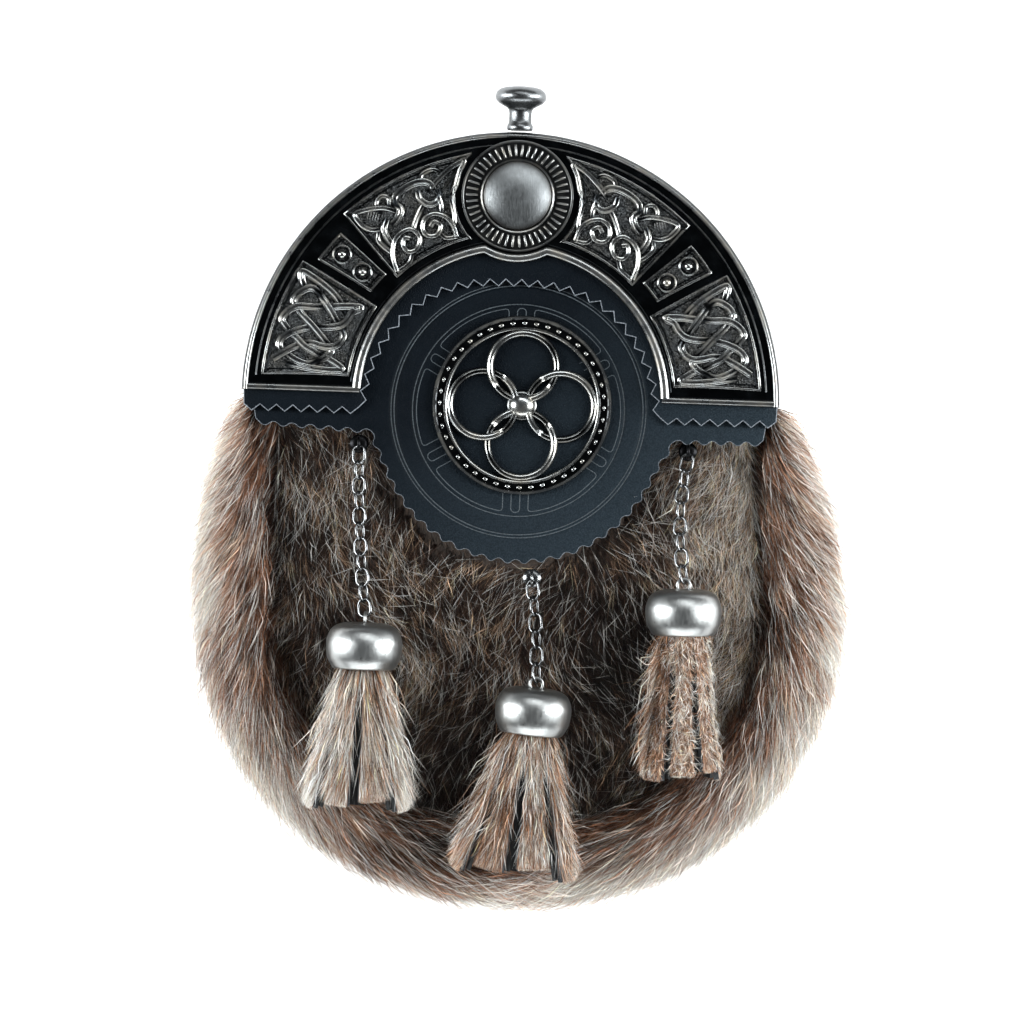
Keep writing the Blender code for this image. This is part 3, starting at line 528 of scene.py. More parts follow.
@dataclass(frozen=True)
class PeltSkin(Finish):
    """The dense undercoat between the hairs, as dark streaks that run with the fur: partly the underfur's own
    colour, partly painted shade of the depth under the hairs.
    """

    # Painted shade: these colours stand partly for the underfur and partly for the shade deep under the
    # hairs.
    dark: Colour = (0.022, 0.014, 0.010)
    light: Colour = (0.17, 0.105, 0.068)

    def feeds(self, bench: Bench) -> dict[str, object]:
        """Streaks from the piece's UV map, whose V runs along the hair."""
        lay = bench.put("ShaderNodeUVMap", uv_map="lay").outputs[0]
        streaks = bench.noise(bench.stretched(lay, (1.0, 0.14, 1.0)), 1300.0, 4.0, 0.65)
        tone = bench.maths("ADD", bench.stored("tone").outputs["Fac"], 0.25)
        share = bench.maths("MULTIPLY", bench.spread(streaks, 0.38, 0.68), tone, clamp=True)
        colour = bench.blend(share, self.dark, self.light)
        return {"Base Color": colour, "Roughness": 0.8, "Normal": bench.bump(streaks, 0.0006)}


@dataclass(frozen=True)
class HairCoat(Finish):
    """Single glossy hairs, coloured from root to tip by the mesh's own colours."""

    def feeds(self, bench: Bench) -> dict[str, object]:
        """The stored colour under a soft gloss."""
        colour = bench.stored("hair").outputs["Color"]
        return {"Base Color": colour, "Roughness": 0.36, "Specular IOR Level": 0.26}


@dataclass(frozen=True)
class FloorPaint(Finish):
    """Even pale paint that reads as white."""

    def feeds(self, bench: Bench) -> dict[str, object]:
        """A matt face with a glow of its own."""
        return {"Base Color": (0.7, 0.7, 0.7), "Roughness": 0.9, "Emission Color": (1.0, 1.0, 1.0),
                "Emission Strength": 0.7}


BLACK_LEATHER = Leather("black leather")
CUT_LEATHER = CutEdge("cut leather")
WORN_LEATHER = CutEdge("worn leather", (0.062, 0.078, 0.09), (0.016, 0.021, 0.025))
WAXED_THREAD = CutEdge("waxed thread", (0.05, 0.05, 0.055), (0.015, 0.015, 0.018))
PELT_STRIP = CutEdge("pelt strip", (0.30, 0.155, 0.09), (0.10, 0.052, 0.032))
STRIP_EDGE = CutEdge("strip edge", (0.02, 0.022, 0.025), (0.006, 0.0062, 0.007))
STRIP_LINING = CutEdge("strip lining", (0.006, 0.0065, 0.007), (0.002, 0.002, 0.002))
PELT_SKIN = PeltSkin("pelt")
PELT_HAIR = HairCoat("hair")
BLACK_ENAMEL = CastMetal("black enamel", (0.018, 0.021, 0.024), (0.036, 0.038, 0.04), roughness=0.2)
ANTIQUE_CASTING = CastMetal("antique casting", (0.010, 0.011, 0.012), (0.42, 0.43, 0.43), 0.40, 0.84, 0.24)
STIPPLED_GROUND = CastMetal("stippled ground", (0.006, 0.0065, 0.007), (0.13, 0.135, 0.138), -0.4, 0.6, 0.24,
                            grain_scale=2100.0, grain_depth=0.0004)
ROLLED_RIM = CastMetal("rolled rim", (0.022, 0.024, 0.026), (0.33, 0.335, 0.335), 0.25, 0.9, 0.29)
RIBBED_COLLAR = CastMetal("ribbed collar", (0.022, 0.023, 0.024), (0.25, 0.255, 0.255), 0.15, 1.0, 0.32)
PEWTER = SatinMetal("pewter", (0.38, 0.385, 0.38), roughness=0.33, stretch=(1.0, 0.12, 1.0))
DARK_PEWTER = SatinMetal("dark pewter", (0.24, 0.25, 0.255), (0.04, 0.038, 0.036), 0.36, (1.0, 0.12, 1.0))
CHAIN_STEEL = SatinMetal("steel chain", (0.20, 0.202, 0.205), (0.025, 0.025, 0.025), 0.2)
TURNED_STEEL = SatinMetal("turned steel", (0.19, 0.195, 0.2), (0.02, 0.02, 0.02), 0.3)
BLACK_STEEL = SatinMetal("blackened steel", (0.012, 0.012, 0.013), (0.004, 0.004, 0.004), 0.3)


# ---------------------------------------------------------------- making pieces


class Slot(Enum):
    """The record's material slots."""

    FUR = "fur"
    LEATHER = "leather"
    DARK_METAL = "dark_metal"
    PEWTER = "pewter"
    CHAIN = "chain_metal"


def finish_piece(
    name: str,
    mesh: Mesh,
    finishes: Iterable[Finish],
    replaced: str = "",
    turn: Matrix | None = None,
    sharp_degrees: float = 180.0,
) -> None:
    """Makes a finished piece of a mesh drawn in millimetres, at the origin and riding on the pouch.

    Args:
        name: the piece's name.
        mesh: its mesh.
        finishes: its finishes, in the order of the mesh's material numbers.
        replaced: the CAD node that it stands for, if it does.
        turn: axes in which it was drawn, if not the pouch's.
        sharp_degrees: edges that turn by more than this stay sharp.
    """
    if turn:
        mesh.transform(turn)
    mesh.transform(Matrix.Scale(MM, 4))
    mesh.name = name
    mesh.shade_smooth()
    if sharp_degrees < 180:
        mesh.set_sharp_from_angle(angle=math.radians(sharp_degrees))
    for finish in finishes:
        mesh.materials.append(finish.material())
    piece = bpy.data.objects.new(name, mesh)
    bpy.context.scene.collection.objects.link(piece)
    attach(piece, BODY)
    if replaced:
        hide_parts(replaced)
    log.info("%s: %d vertices, %d faces", name, len(mesh.vertices), len(mesh.polygons))


def to_mesh(shape: Shape, relief: Place | None = None) -> Mesh:
    """A mesh of a bmesh, whose doubles are merged and whose faces point outwards.

    Args:
        shape: the bmesh, which is freed.
        relief: heights that the attribute "relief" counts as 0 and as 1, if it is wanted.

    Returns:
        The mesh.
    """
    bmesh.ops.remove_doubles(shape, verts=shape.verts, dist=0.0005)
    bmesh.ops.recalc_face_normals(shape, faces=shape.faces)
    mesh = bpy.data.meshes.new("shape")
    shape.to_mesh(mesh)
    shape.free()
    if relief:
        store(mesh, "relief", (vertex_places(mesh)[:, 2] - relief[0]) / (relief[1] - relief[0]))
    return mesh


def joined(meshes: Iterable[Mesh]) -> Mesh:
    """One mesh of several, which are removed."""
    whole = bmesh.new()
    for mesh in meshes:
        whole.from_mesh(mesh)
        bpy.data.meshes.remove(mesh)
    mesh = bpy.data.meshes.new("joined")
    whole.to_mesh(mesh)
    whole.free()
    return mesh


def vertex_places(mesh: Mesh) -> Rows:
    """The mesh's vertices."""
    flat = np.empty(len(mesh.vertices) * 3, np.float32)
    mesh.vertices.foreach_get("co", flat)
    return flat.reshape(-1, 3).astype(float)


def vertex_radii(mesh: Mesh) -> Rows:
    """How far the mesh's vertices lie from the Z axis."""
    places = vertex_places(mesh)
    return np.hypot(places[:, 0], places[:, 1])


def store(mesh: Mesh, name: str, values: Rows) -> None:
    """Keeps a number of 0 to 1 for each vertex, which a material reads by name."""
    attribute = mesh.attributes.get(name) or mesh.attributes.new(name, "FLOAT", "POINT")
    attribute.data.foreach_set("value", np.ascontiguousarray(np.clip(values, 0, 1), np.float32))


def ring_edges(shape: Shape, verts: Sequence[bmesh.types.BMVert]) -> list[bmesh.types.BMEdge]:
    """New edges that join the vertices in a ring."""
    return [shape.edges.new(pair) for pair in zip(verts, [*verts[1:], verts[0]])]


def draw_outline(shape: Shape, outline: Iterable[Place], z: float) -> Face:
    """A flat face with this outline."""
    return shape.faces.new([shape.verts.new((x, y, z)) for x, y in outline])


def thicken(shape: Shape, faces: list[Face], thick: float) -> list[bmesh.types.BMEdge]:
    """Makes a plate of flat faces that are its top.

    Args:
        shape: the bmesh that holds the faces.
        faces: the top.
        thick: how far down the plate goes.

    Returns:
        The top's outer edges.
    """
    rim = [edge for face in faces for edge in face.edges if len(edge.link_faces) == 1]
    made = bmesh.ops.extrude_edge_only(shape, edges=rim)["geom"]
    low = dict.fromkeys(item for item in made if isinstance(item, bmesh.types.BMVert))
    bmesh.ops.translate(shape, verts=list(low), vec=(0, 0, -thick))
    hem = dict.fromkeys(e for vert in low for e in vert.link_edges if e.verts[0] in low and e.verts[1] in low)
    bmesh.ops.triangle_fill(shape, use_beauty=False, use_dissolve=True, edges=list(hem))
    return rim


def round_off(shape: Shape, edges: Iterable[bmesh.types.BMEdge], width: float, segments: int) -> list[Face]:
    """Rounds these edges.

    Args:
        shape: the bmesh that holds the edges.
        edges: the edges.
        width: how far the rounding reaches.
        segments: strips of faces across it.

    Returns:
        The new faces.
    """
    made = bmesh.ops.bevel(shape, geom=list(edges), offset=width, segments=segments, profile=0.5,
                           affect="EDGES", material=-1, clamp_overlap=True)
    return made["faces"]


def place_shape(shape: Shape, verts: list[bmesh.types.BMVert], size: Sequence[float], at: Sequence[float],
                angle: float = 0.0) -> None:
    """Scales a small shape, moves it to its place and turns it about the Z axis.

    Args:
        shape: the bmesh that holds it.
        verts: its vertices.
        size: its scale along each axis.
        at: where its middle goes.
        angle: how far the place is turned, in radians.
    """
    bmesh.ops.scale(shape, verts=verts, vec=size)
    bmesh.ops.translate(shape, verts=verts, vec=at)
    if angle:
        bmesh.ops.rotate(shape, verts=verts, matrix=Matrix.Rotation(angle, 3, "Z"))


def sweep(shape: Shape, path: Rows, section: Rows, closed: bool = False,
          upward: Vector = Vector((0, 0, 1))) -> None:
    """Draws a section along a path, by extruding its ring from station to station.

    Args:
        shape: the bmesh that it is drawn into.
        path: places along the path.
        section: the section's places, sideways and up, in order round it.
        closed: whether the path comes back to its start.
        upward: what the section's up is nearest to.
    """
    tangents = np.roll(path, -1, axis=0) - np.roll(path, 1, axis=0)
    if not closed:
        tangents[0], tangents[-1] = path[1] - path[0], path[-1] - path[-2]

    def station(i: int) -> list[Vector]:
        """The section's places at one place of the path."""
        along = Vector(tangents[i]).normalized()
        side = along.cross(upward).normalized()
        up = side.cross(along)
        middle = Vector(path[i])
        return [middle + (side * a + up * b) for a, b in section]

    ring = [shape.verts.new(place) for place in station(0)]
    edges = ring_edges(shape, ring)
    first = list(edges)
    for i in range(1, len(path)):
        made = set(bmesh.ops.extrude_edge_only(shape, edges=edges)["geom"])
        ring = [next(v for e in old.link_edges if (v := e.other_vert(old)) in made) for old in ring]
        for vert, place in zip(ring, station(i)):
            vert.co = place
        edges = [shape.edges.get(pair) for pair in zip(ring, ring[1:] + ring[:1])]
    if closed:
        bmesh.ops.bridge_loops(shape, edges=first + edges)
    else:
        for end in (first, edges):
            bmesh.ops.edgeloop_fill(shape, edges=end)


def half_round(half_width: float, height: float) -> Rows:
    """The section of a raised line that sits on a face."""
    turns = np.radians((0, 36, 72, 108, 144, 180))
    top = np.column_stack((np.cos(turns) * half_width, np.sin(turns) * height))
    return np.vstack((top, ((-half_width, -0.25), (half_width, -0.25))))


def grooved_band(half_width: float, height: float) -> Rows:
    """The section of a knotwork band: two ridges with a groove between them."""
    half = np.array(((1.0, 0.0), (0.92, 0.62), (0.66, 1.0), (0.36, 0.88), (0.14, 0.52)))
    flanks = np.vstack((half, half[::-1] * (-1, 1))) * (half_width, height)
    return np.vstack((flanks, ((-half_width, -0.35), (half_width, -0.35))))


def turned_shape(section: Sequence[Place], steps: int, closed_section: bool = False) -> Shape:
    """A profile turned about Z.

    Args:
        section: radius and height at each place of the profile.
        steps: how many places there are round the axis.
        closed_section: whether the profile comes back to its start.

    Returns:
        A bmesh without doubles.
    """
    shape = bmesh.new()
    verts = [shape.verts.new((r, 0, z)) for r, z in section]
    pairs = zip(verts, verts[1:] + (verts[:1] if closed_section else []))
    edges = [shape.edges.new(pair) for pair in pairs]
    bmesh.ops.spin(shape, geom=verts + edges, cent=(0, 0, 0), axis=(0, 0, 1), angle=2 * math.pi, steps=steps,
                   use_merge=True)
    bmesh.ops.remove_doubles(shape, verts=shape.verts, dist=0.0005)
    return shape


# ---------------------------------------------------------------- fur


def unit(rows: Rows) -> Rows:
    """The vectors at a length of 1."""
    return rows / np.maximum(np.linalg.norm(rows, axis=-1, keepdims=True), 1e-9)


@dataclass
class Surface:
    """A grid of places on a piece of pelt, from which hairs grow.

    Fields:
        places: X, Y and Z for each row along the pelt and each column across it.
        weights: how thick the fur is at each place, for sampling.
        normals, along, across: what its faces face, and the grid's two ways.
    """

    places: Rows
    weights: Rows | None = None
    normals: Rows = field(init=False)
    along: Rows = field(init=False)
    across: Rows = field(init=False)

    def __post_init__(self) -> None:
        """Works out the two ways of the grid and its normals."""
        self.along = unit(np.gradient(self.places, axis=0))
        self.across = unit(np.gradient(self.places, axis=1))
        self.normals = unit(np.cross(self.along, self.across))

    def faced(self, way: Sequence[float], column: int | slice = slice(None)) -> "Surface":
        """This surface, its normals turned so that these columns face this way."""
        if np.median(self.normals[:, column] @ np.array(way)) < 0:
            self.normals *= -1
        return self

    def sample(self, count: int, rng: np.random.Generator) -> dict[str, Rows]:
        """Roots spread evenly over the pelt.

        Args:
            count: how many hairs.
            rng: the source of chance.

        Returns:
            For each root its place, normal, the two ways of the grid, and its share along and across.
        """
        rows, columns = self.places.shape[:2]
        down = self.places[1:, :-1] - self.places[:-1, :-1]
        over = self.places[:-1, 1:] - self.places[:-1, :-1]
        areas = np.linalg.norm(np.cross(down, over), axis=-1)
        if self.weights is not None:
            areas = areas * self.weights[:-1, :-1]
        chosen = rng.choice(areas.size, count, p=areas.ravel() / areas.sum())
        i, j = np.divmod(chosen, columns - 1)
        a, b = rng.random((2, count, 1))
        found = {"row": (i + a[:, 0]) / (rows - 1), "column": (j + b[:, 0]) / (columns - 1)}
        for title in ("places", "normals", "along", "across"):
            grid = getattr(self, title)
            near = grid[i, j] * (1 - b) + grid[i, j + 1] * b
            far = grid[i + 1, j] * (1 - b) + grid[i + 1, j + 1] * b
            found[title] = near * (1 - a) + far * a
        return found

    def skin(self, sunk: float, shrink: Rows | None = None) -> Shape:
        """The pelt's leather side as a sheet, moved onto the grid.

        Args:
            sunk: how far under the fur's surface it lies.
            shrink: for each row, the share by which it draws in to its own middle.

        Returns:
            A bmesh with a UV map "lay" in metres, whose V runs along the grid's rows.
        """
        rows, columns = self.places.shape[:2]
        sunk_places = self.places - self.normals * sunk
        if shrink is not None:
            sunk_places += (sunk_places.mean(axis=1, keepdims=True) - sunk_places) * shrink[:, None, None]
        step_rows = np.linalg.norm(np.diff(self.places, axis=0), axis=-1).mean(axis=1)
        step_columns = np.linalg.norm(np.diff(self.places, axis=1), axis=-1)
        along = np.concatenate(([0], np.cumsum(step_rows)))
        across = np.hstack((np.zeros((rows, 1)), np.cumsum(step_columns, axis=1)))
        shape = bmesh.new()
        bmesh.ops.create_grid(shape, x_segments=columns - 1, y_segments=rows - 1, size=0.5)
        lay = shape.loops.layers.uv.new("lay")
        for vert in shape.verts:
            j, i = round((vert.co.x + 0.5) * (columns - 1)), round((vert.co.y + 0.5) * (rows - 1))
            for loop in vert.link_loops:
                loop[lay].uv = (across[i, j] * MM, along[i] * MM)
            vert.co = sunk_places[i, j]
        return shape


@dataclass(frozen=True)
class Patch:
    """A patch of paler or darker fur: where it lies, how far it reaches and how much paler it is. Most
    patches are the fur's own tone; the narrow dark one along the front pelt's right crease is painted shade.
    """

    x: float
    y: float
    reach_x: float
    reach_y: float
    cream: float

    def weigh(self, places: Rows) -> Rows:
        """How strongly the patch is felt at each place."""
        away = ((places[:, 0] - self.x) / self.reach_x) ** 2 + ((places[:, 1] - self.y) / self.reach_y) ** 2
        return self.cream * np.exp(-away)


@dataclass(frozen=True)
class Coat:
    """How the hair of one pelt grows and is coloured. Lengths are in millimetres and angles in degrees.

    Fields:
        lift_root, lift_tip: how far the hair stands up from the skin.
        messy: how far hairs turn away from the lay.
        clump_reach, clump_pull: size of the locks, and how much a hair bends to its lock's tip.
        sunk: how far under the fur's surface the roots lie.
        guard: share of long, thin guard hairs with pale tips.
        deep, base, pale: the hair's colours where the fur is darkest, usual and palest.
        seed: what its chance starts from.
        tip: the colour of the guard hairs' tips.
        guard_width: how thick guard hairs are beside the others.
        cream: how pale it is all over.
        uneven, lock_tone, jitter: how much clouds, locks and single hairs differ.
        straight: share of the hairs that are a single straight spike.
    """

    count: int
    length: float
    width: float
    lift_root: float
    lift_tip: float
    messy: float
    clump_reach: float
    clump_pull: float
    sunk: float
    guard: float
    deep: Colour
    base: Colour
    pale: Colour
    seed: int
    patches: tuple[Patch, ...] = ()
    tip: Colour = (1.0, 0.95, 0.88)
    guard_width: float = 1.0
    length_spread: float = 0.3
    cream: float = 0.0
    uneven: float = 0.16
    lock_tone: float = 0.3
    straight: float = 0.85
    jitter: float = 0.42
    lift_spread: float = 9.0

    def grow(self, roots: dict[str, Rows], lay: Rows, rng: np.random.Generator) -> Mesh:
        """Every hair as a thin bent spike of three sides.

        Args:
            roots: what Surface.sample gives, and perhaps "limit", the most that each hair reaches,
                "tint", how much paler it is, "long", how many times longer, and "ceiling", its highest Z.
            lay: the way each hair lies, along the pelt.
            rng: the source of chance.

        Returns:
            A mesh in millimetres with the colours "hair".
        """
        count, normals = len(lay), roots["normals"]
        cream = self.creaminess(roots["places"]) + roots.get("tint", 0.0)
        guard = rng.random((count, 1)) < self.guard * np.clip(1 + 1.4 * cream, 0.45, 1.7)[:, None]
        lay = unit(lay - normals * np.sum(lay * normals, axis=1, keepdims=True))
        swing = np.radians(rng.normal(0, self.messy, (count, 1)) * np.where(guard, 1.4, 1.0))
        lay = lay * np.cos(swing) + np.cross(normals, lay) * np.sin(swing)
        bend = np.radians(rng.normal(0, self.messy * 0.6, (count, 1)))
        lay_tip = lay * np.cos(bend) + np.cross(normals, lay) * np.sin(bend)
        lengths = self.length * np.clip(rng.normal(1, self.length_spread, (count, 1)), 0.4, 1.9)
        lengths *= np.where(guard, 1.2, 1.0) * np.reshape(roots.get("long", 1.0), (-1, 1))
        if "limit" in roots:
            lengths = np.minimum(lengths, roots["limit"][:, None] * rng.uniform(0.9, 1.05, (count, 1)))
        root = roots["places"] - normals * self.sunk
        line = [root]
        for way, lift in ((lay, self.lift_root), (lay_tip, self.lift_tip)):
            lift = np.radians(lift + rng.normal(0, self.lift_spread, (count, 1)))
            line.append(line[-1] + (way * np.cos(lift) + normals * np.sin(lift)) * lengths * 0.5)
        clump = self.nearest(root, rng)
        pull = self.clump_pull * rng.random((count, 1)) ** 0.7 * np.where(guard, 0.4, 1.0)
        if "limit" in roots:
            pull *= 0.35
        for place, share in zip(line[1:], (0.45, 1.0)):
            place += (place[clump] - place) * pull * share
            place[:, 2] = np.clip(place[:, 2], FUR_FLOOR, roots.get("ceiling", np.inf))
        straight = rng.random(count) < self.straight
        colours = self.colours(cream, clump, guard, straight[:, None], rng)
        half = self.width / 2 * rng.uniform(0.7, 1.25, (count, 1, 1))
        half *= np.where(guard, self.guard_width, 1.0)[..., None]
        return self.spikes(line, normals, colours, half, straight)

    def nearest(self, root: Rows, rng: np.random.Generator) -> Rows:
        """The hair that leads each hair's lock.

        Args:
            root: where the hairs grow.
            rng: the source of chance.

        Returns:
            The leader's number for each hair.
        """
        leaders: dict[tuple[int, ...], int] = {}
        cell = self.clump_reach
        keys = np.floor((root + rng.normal(0, cell * 0.22, root.shape)) / cell).astype(int)
        return np.array([leaders.setdefault(key, i) for i, key in enumerate(map(tuple, keys))])

    def creaminess(self, places: Rows) -> Rows:
        """How pale the fur is at each place: the named patches, and a soft unevenness all over."""
        x, y = places[:, 0], places[:, 1]
        cloud = np.sin(x * 0.31 + 2 * np.sin(y * 0.17)) + np.sin(y * 0.27 + 2 * np.sin(x * 0.21 + 1.0))
        cream = self.cream + self.uneven * 0.5 * cloud
        for patch in self.patches:
            cream = cream + patch.weigh(places)
        return cream

    def tone(self, mesh: Mesh) -> Mesh:
        """The skin's mesh, with how pale the fur is over each of its places."""
        store(mesh, "tone", 0.35 + self.creaminess(vertex_places(mesh)))
        return mesh

    def colours(self, cream: Rows, clump: Rows, guard: Rows, straight: Rows,
                rng: np.random.Generator) -> Rows:
        """Each hair's colours.

        Args:
            cream: how pale the fur is there.
            clump: the hair that leads its lock.
            guard: whether it is a guard hair.
            straight: whether it is a single straight spike.
            rng: the source of chance.

        Returns:
            Three colours for each hair: at its root, its middle and its tip.
        """
        count = len(cream)
        lock = rng.normal(0, self.lock_tone, count)[clump]
        share = np.clip(cream + lock + rng.normal(0, 0.14, count), -1, 1)[:, None]
        deep, base, pale = (np.array(c) for c in (self.deep, self.base, self.pale))
        body = base + np.where(share > 0, pale - base, base - deep) * share
        body = body * np.exp(rng.normal(0, self.jitter, (count, 1)))
        tip = np.array(self.tip) * rng.uniform(0.7, 1.2, (count, 1))
        # Roots and middles are darker than the tips: partly the hair's own darker base, partly painted shade
        # deep in the coat.
        at_root = np.where(straight, np.where(guard, tip * 0.3, body * 0.28), body * 0.10)
        at_middle = np.where(guard, body * 0.5 + tip * 0.5, body * 0.75)
        return np.clip(np.stack((at_root, at_middle, np.where(guard, tip, body)), axis=1), 0.002, 0.95)

    @staticmethod
    def spikes(line: Sequence[Rows], normals: Rows, colours: Rows, half: Rows, straight: Rows) -> Mesh:
        """Joins all hairs in one mesh of closed spikes of three sides, from arrays.

        Args:
            line: each hair's root, middle and tip.
            normals: the pelt's normals at the roots.
            colours: three colours for each hair.
            half: half of each hair's width.
            straight: which hairs leave out their middle.

        Returns:
            The mesh.
        """
        root, middle, tip = line
        way = unit(tip - root)
        side = unit(np.cross(way, normals))
        up = np.cross(side, way)
        corners = np.radians((90.0, 210.0, 330.0))
        ring = np.stack([side * math.cos(a) + up * math.sin(a) for a in corners], axis=1) * half
        low, high = root[:, None] + ring * 0.8, middle[:, None] + ring
        places, tints, loops, sizes, start = [], [], [], [], 0
        for chosen, stations in ((~straight, (low, high)), (straight, (low,))):
            count, rings = int(chosen.sum()), len(stations)
            corners_each, top = 3 * rings + 1, 3 * (rings - 1)
            one = [(2, 1, 0)]
            for r in range(0, top, 3):
                one += [(r + k, r + (k + 1) % 3, r + 3 + (k + 1) % 3, r + 3 + k) for k in range(3)]
            one += [(top + k, top + (k + 1) % 3, top + 3) for k in range(3)]
            shape = np.concatenate([station[chosen] for station in stations] + [tip[chosen][:, None]], axis=1)
            places.append(shape.reshape(-1, 3))
            tint = colours[chosen][:, (0, 1, 2) if rings == 2 else (0, 2)]
            tints.append(np.repeat(tint, [3] * rings + [1], axis=1).reshape(-1, 3))
            firsts = start + corners_each * np.arange(count)[:, None]
            loops.append((np.concatenate(one)[None] + firsts).ravel())
            sizes.append(np.tile([len(face) for face in one], count))
            start += corners_each * count
        places, tints, loops, sizes = (np.concatenate(rows) for rows in (places, tints, loops, sizes))
        mesh = bpy.data.meshes.new("hair")
        mesh.vertices.add(len(places))
        mesh.loops.add(len(loops))
        mesh.polygons.add(len(sizes))
        starts = np.concatenate(([0], np.cumsum(sizes)[:-1]))
        mesh.vertices.foreach_set("co", places.astype(np.float32).ravel())
        mesh.loops.foreach_set("vertex_index", loops.astype(np.int32))
        mesh.polygons.foreach_set("loop_start", starts.astype(np.int32))
        mesh.update(calc_edges=True)
        layer = mesh.color_attributes.new("hair", "FLOAT_COLOR", "POINT")
        tints = np.column_stack((tints, np.ones(len(tints))))
        layer.data.foreach_set("color", tints.astype(np.float32).ravel())
        return mesh


FUR_FLOOR = 0.3  # no hair reaches lower than this
OPEN_CEILING = FLAP_Z + 10.0  # nor higher than this, where nothing lies over the fur
ROLL_ROWS = (
    # share of the way from the crease to the outer edge, height
    (0.01, 28.6), (0.15, 33.4), (0.42, 35.5), (0.74, 32.4),
    (0.97, 23.5), (0.99, 12.5), (0.77, 3.4), (0.29, 1.4),
)


@dataclass
class FurRoll:
    """The roll of fur round the pouch's lower edge.

    Fields:
        end_shrink, end_reach: how much its skin draws in at its ends, and over what share of its length.
        overhang: degrees by which the hair goes on past both ends.
        inner and outer tints: how much darker the hair is at the crease, which is painted shade, and how much
            paler it is outside.
        tuck, tuck_left, tuck_reach: how far the hair reaches over the front pelt, there and at its left end.
        flap_y, flap_x, flap_low: where the flap lies over the roll, and how low.
    """

    stations: int = 168
    across: int = 6
    skin_sunk: float = 3.2
    end_shrink: float = 0.75
    end_reach: float = 0.03
    overhang: float = 2.0
    # Painted shade: the hair at the crease, where the roll meets the front pelt, is darkened.
    crease_shade_tint: float = -0.55
    outer_tint: float = 0.26
    tuck: float = 0.09
    tuck_left: float = 0.24
    tuck_reach: float = 10.0
    flap_y: Place = (-3.0, -12.0)
    flap_x: Place = (70.4, 72.5)
    flap_low: float = 36.9
    coat: Coat = Coat(
        count=74000, length=11.0, width=0.20, lift_root=25, lift_tip=3, messy=10, clump_reach=2.4,
        clump_pull=0.5, sunk=3.0, guard=0.28, guard_width=1.05, length_spread=0.36,
        deep=(0.028, 0.013, 0.008), base=(0.350, 0.160, 0.088), pale=(1.0, 0.84, 0.66), seed=11, cream=0.03,
        lock_tone=0.36,
        patches=(
            Patch(-84, 14, 6, 14, 0.45), Patch(-86, -18, 5, 14, 0.65), Patch(-74, 2, 8, 14, -0.2),
            Patch(-80, -36, 8, 8, -0.3), Patch(-74, -50, 12, 10, -0.15), Patch(70, 14, 12, 12, -0.2),
            Patch(80, -10, 8, 12, -0.25), Patch(86, -34, 5, 20, 0.3), Patch(74, -76, 11, 20, 0.55),
            Patch(36, -106, 24, 4, 0.4), Patch(-70, -72, 10, 18, 0.35), Patch(-20, -98, 26, 8, -0.8),
            Patch(-66, 16, 8, 13, 0.25), Patch(-44, -92, 20, 8, -0.65), Patch(56, -94, 14, 8, 0.35),
        ),
    )

    def surface(self, overhang: float = 0.0, tucked: bool = False) -> Surface:
        """The fur's outer form, from the crease over the roll to its back.

        Args:
            overhang: degrees by which it goes on past both of the roll's ends.
            tucked: whether it also reaches over the front pelt's edge.

        Returns:
            Its grid.
        """
        angles = np.linspace(ROLL_FIRST - overhang, ROLL_LAST + overhang, self.stations + 1)
        crease, outer = egg_points(CREASE, angles), egg_points(OUTER, angles)
        share, heights = smooth_path(ROLL_ROWS, self.across).T
        column = np.arange(len(heights))
        share = share[None, :, None]
        if tucked:
            tuck = self.tuck + self.tuck_left * np.exp(-(((angles - ROLL_FIRST) / self.tuck_reach) ** 2))
            share = share - tuck[:, None, None] * np.clip(1 - column / self.across, 0, 1)[None, :, None]
        flat = crease[:, None] + (outer - crease)[:, None] * share
        heights = np.broadcast_to(heights, flat.shape[:2])
        if tucked:
            over = np.maximum(heights, edge_heights(flat[..., 1]) + 1.2)
            heights = np.where(column < self.across, over, heights)
        places = np.concatenate((flat, heights[..., None]), axis=2)
        weights = np.where(column > 5 * self.across, 0.4, np.where(column < self.across, 1.8, 1.0))
        surface = Surface(places, np.broadcast_to(weights, places.shape[:2]))
        return surface.faced((0, 0, 1), 2 * self.across)

    def lay(self, roots: dict[str, Rows]) -> Rows:
        """Hair runs down both sides to the bottom seam, and outwards, most of all at the top."""
        seam = (SEAM_ANGLE - ROLL_FIRST) / (ROLL_LAST - ROLL_FIRST)
        towards = np.sign(seam - roots["row"])[:, None]
        out = np.clip(np.abs(roots["row"] - seam) * 2.0, 0, 1)[:, None] ** 1.4 * 0.62 + 0.10
        return roots["along"] * towards + roots["across"] * out

    def build(self) -> None:
        """The skin and two halves of hair."""
        from_end = 0.5 - np.abs(np.linspace(-0.5, 0.5, self.stations + 1))
        near_end = np.clip(1 - from_end / self.end_reach, 0, 1) ** 2
        shape = self.surface().skin(self.skin_sunk, near_end * self.end_shrink)
        self.close_tube(shape)
        finish_piece("roll_skin", self.coat.tone(to_mesh(shape)), [PELT_SKIN], "gusset_pelt")
        rng = np.random.default_rng(self.coat.seed)
        roots = self.surface(self.overhang, tucked=True).sample(self.coat.count, rng)
        x, y = to_cantle(roots["places"][:, :2]).T
        under = (y > self.flap_y[1]) & (np.abs(x) < self.flap_x[1])
        roots["ceiling"] = np.where(under, self.flap_low, OPEN_CEILING)
        seen = (y < self.flap_y[0]) | (np.abs(x) > self.flap_x[0])
        roots = {title: values[seen] for title, values in roots.items()}
        outwards = np.clip((roots["column"] - 0.08) / 0.42, 0, 1)
        # The tint runs from painted crease shade at the inner edge to paler hair outside.
        roots["tint"] = self.crease_shade_tint + (self.outer_tint - self.crease_shade_tint) * outwards
        lay = self.lay(roots)
        left = roots["places"][:, 0] < 0
        for side, chosen in (("left", left), ("right", ~left)):
            some = {title: values[chosen] for title, values in roots.items()}
            finish_piece("roll_hair_" + side, self.coat.grow(some, lay[chosen], rng), [PELT_HAIR])

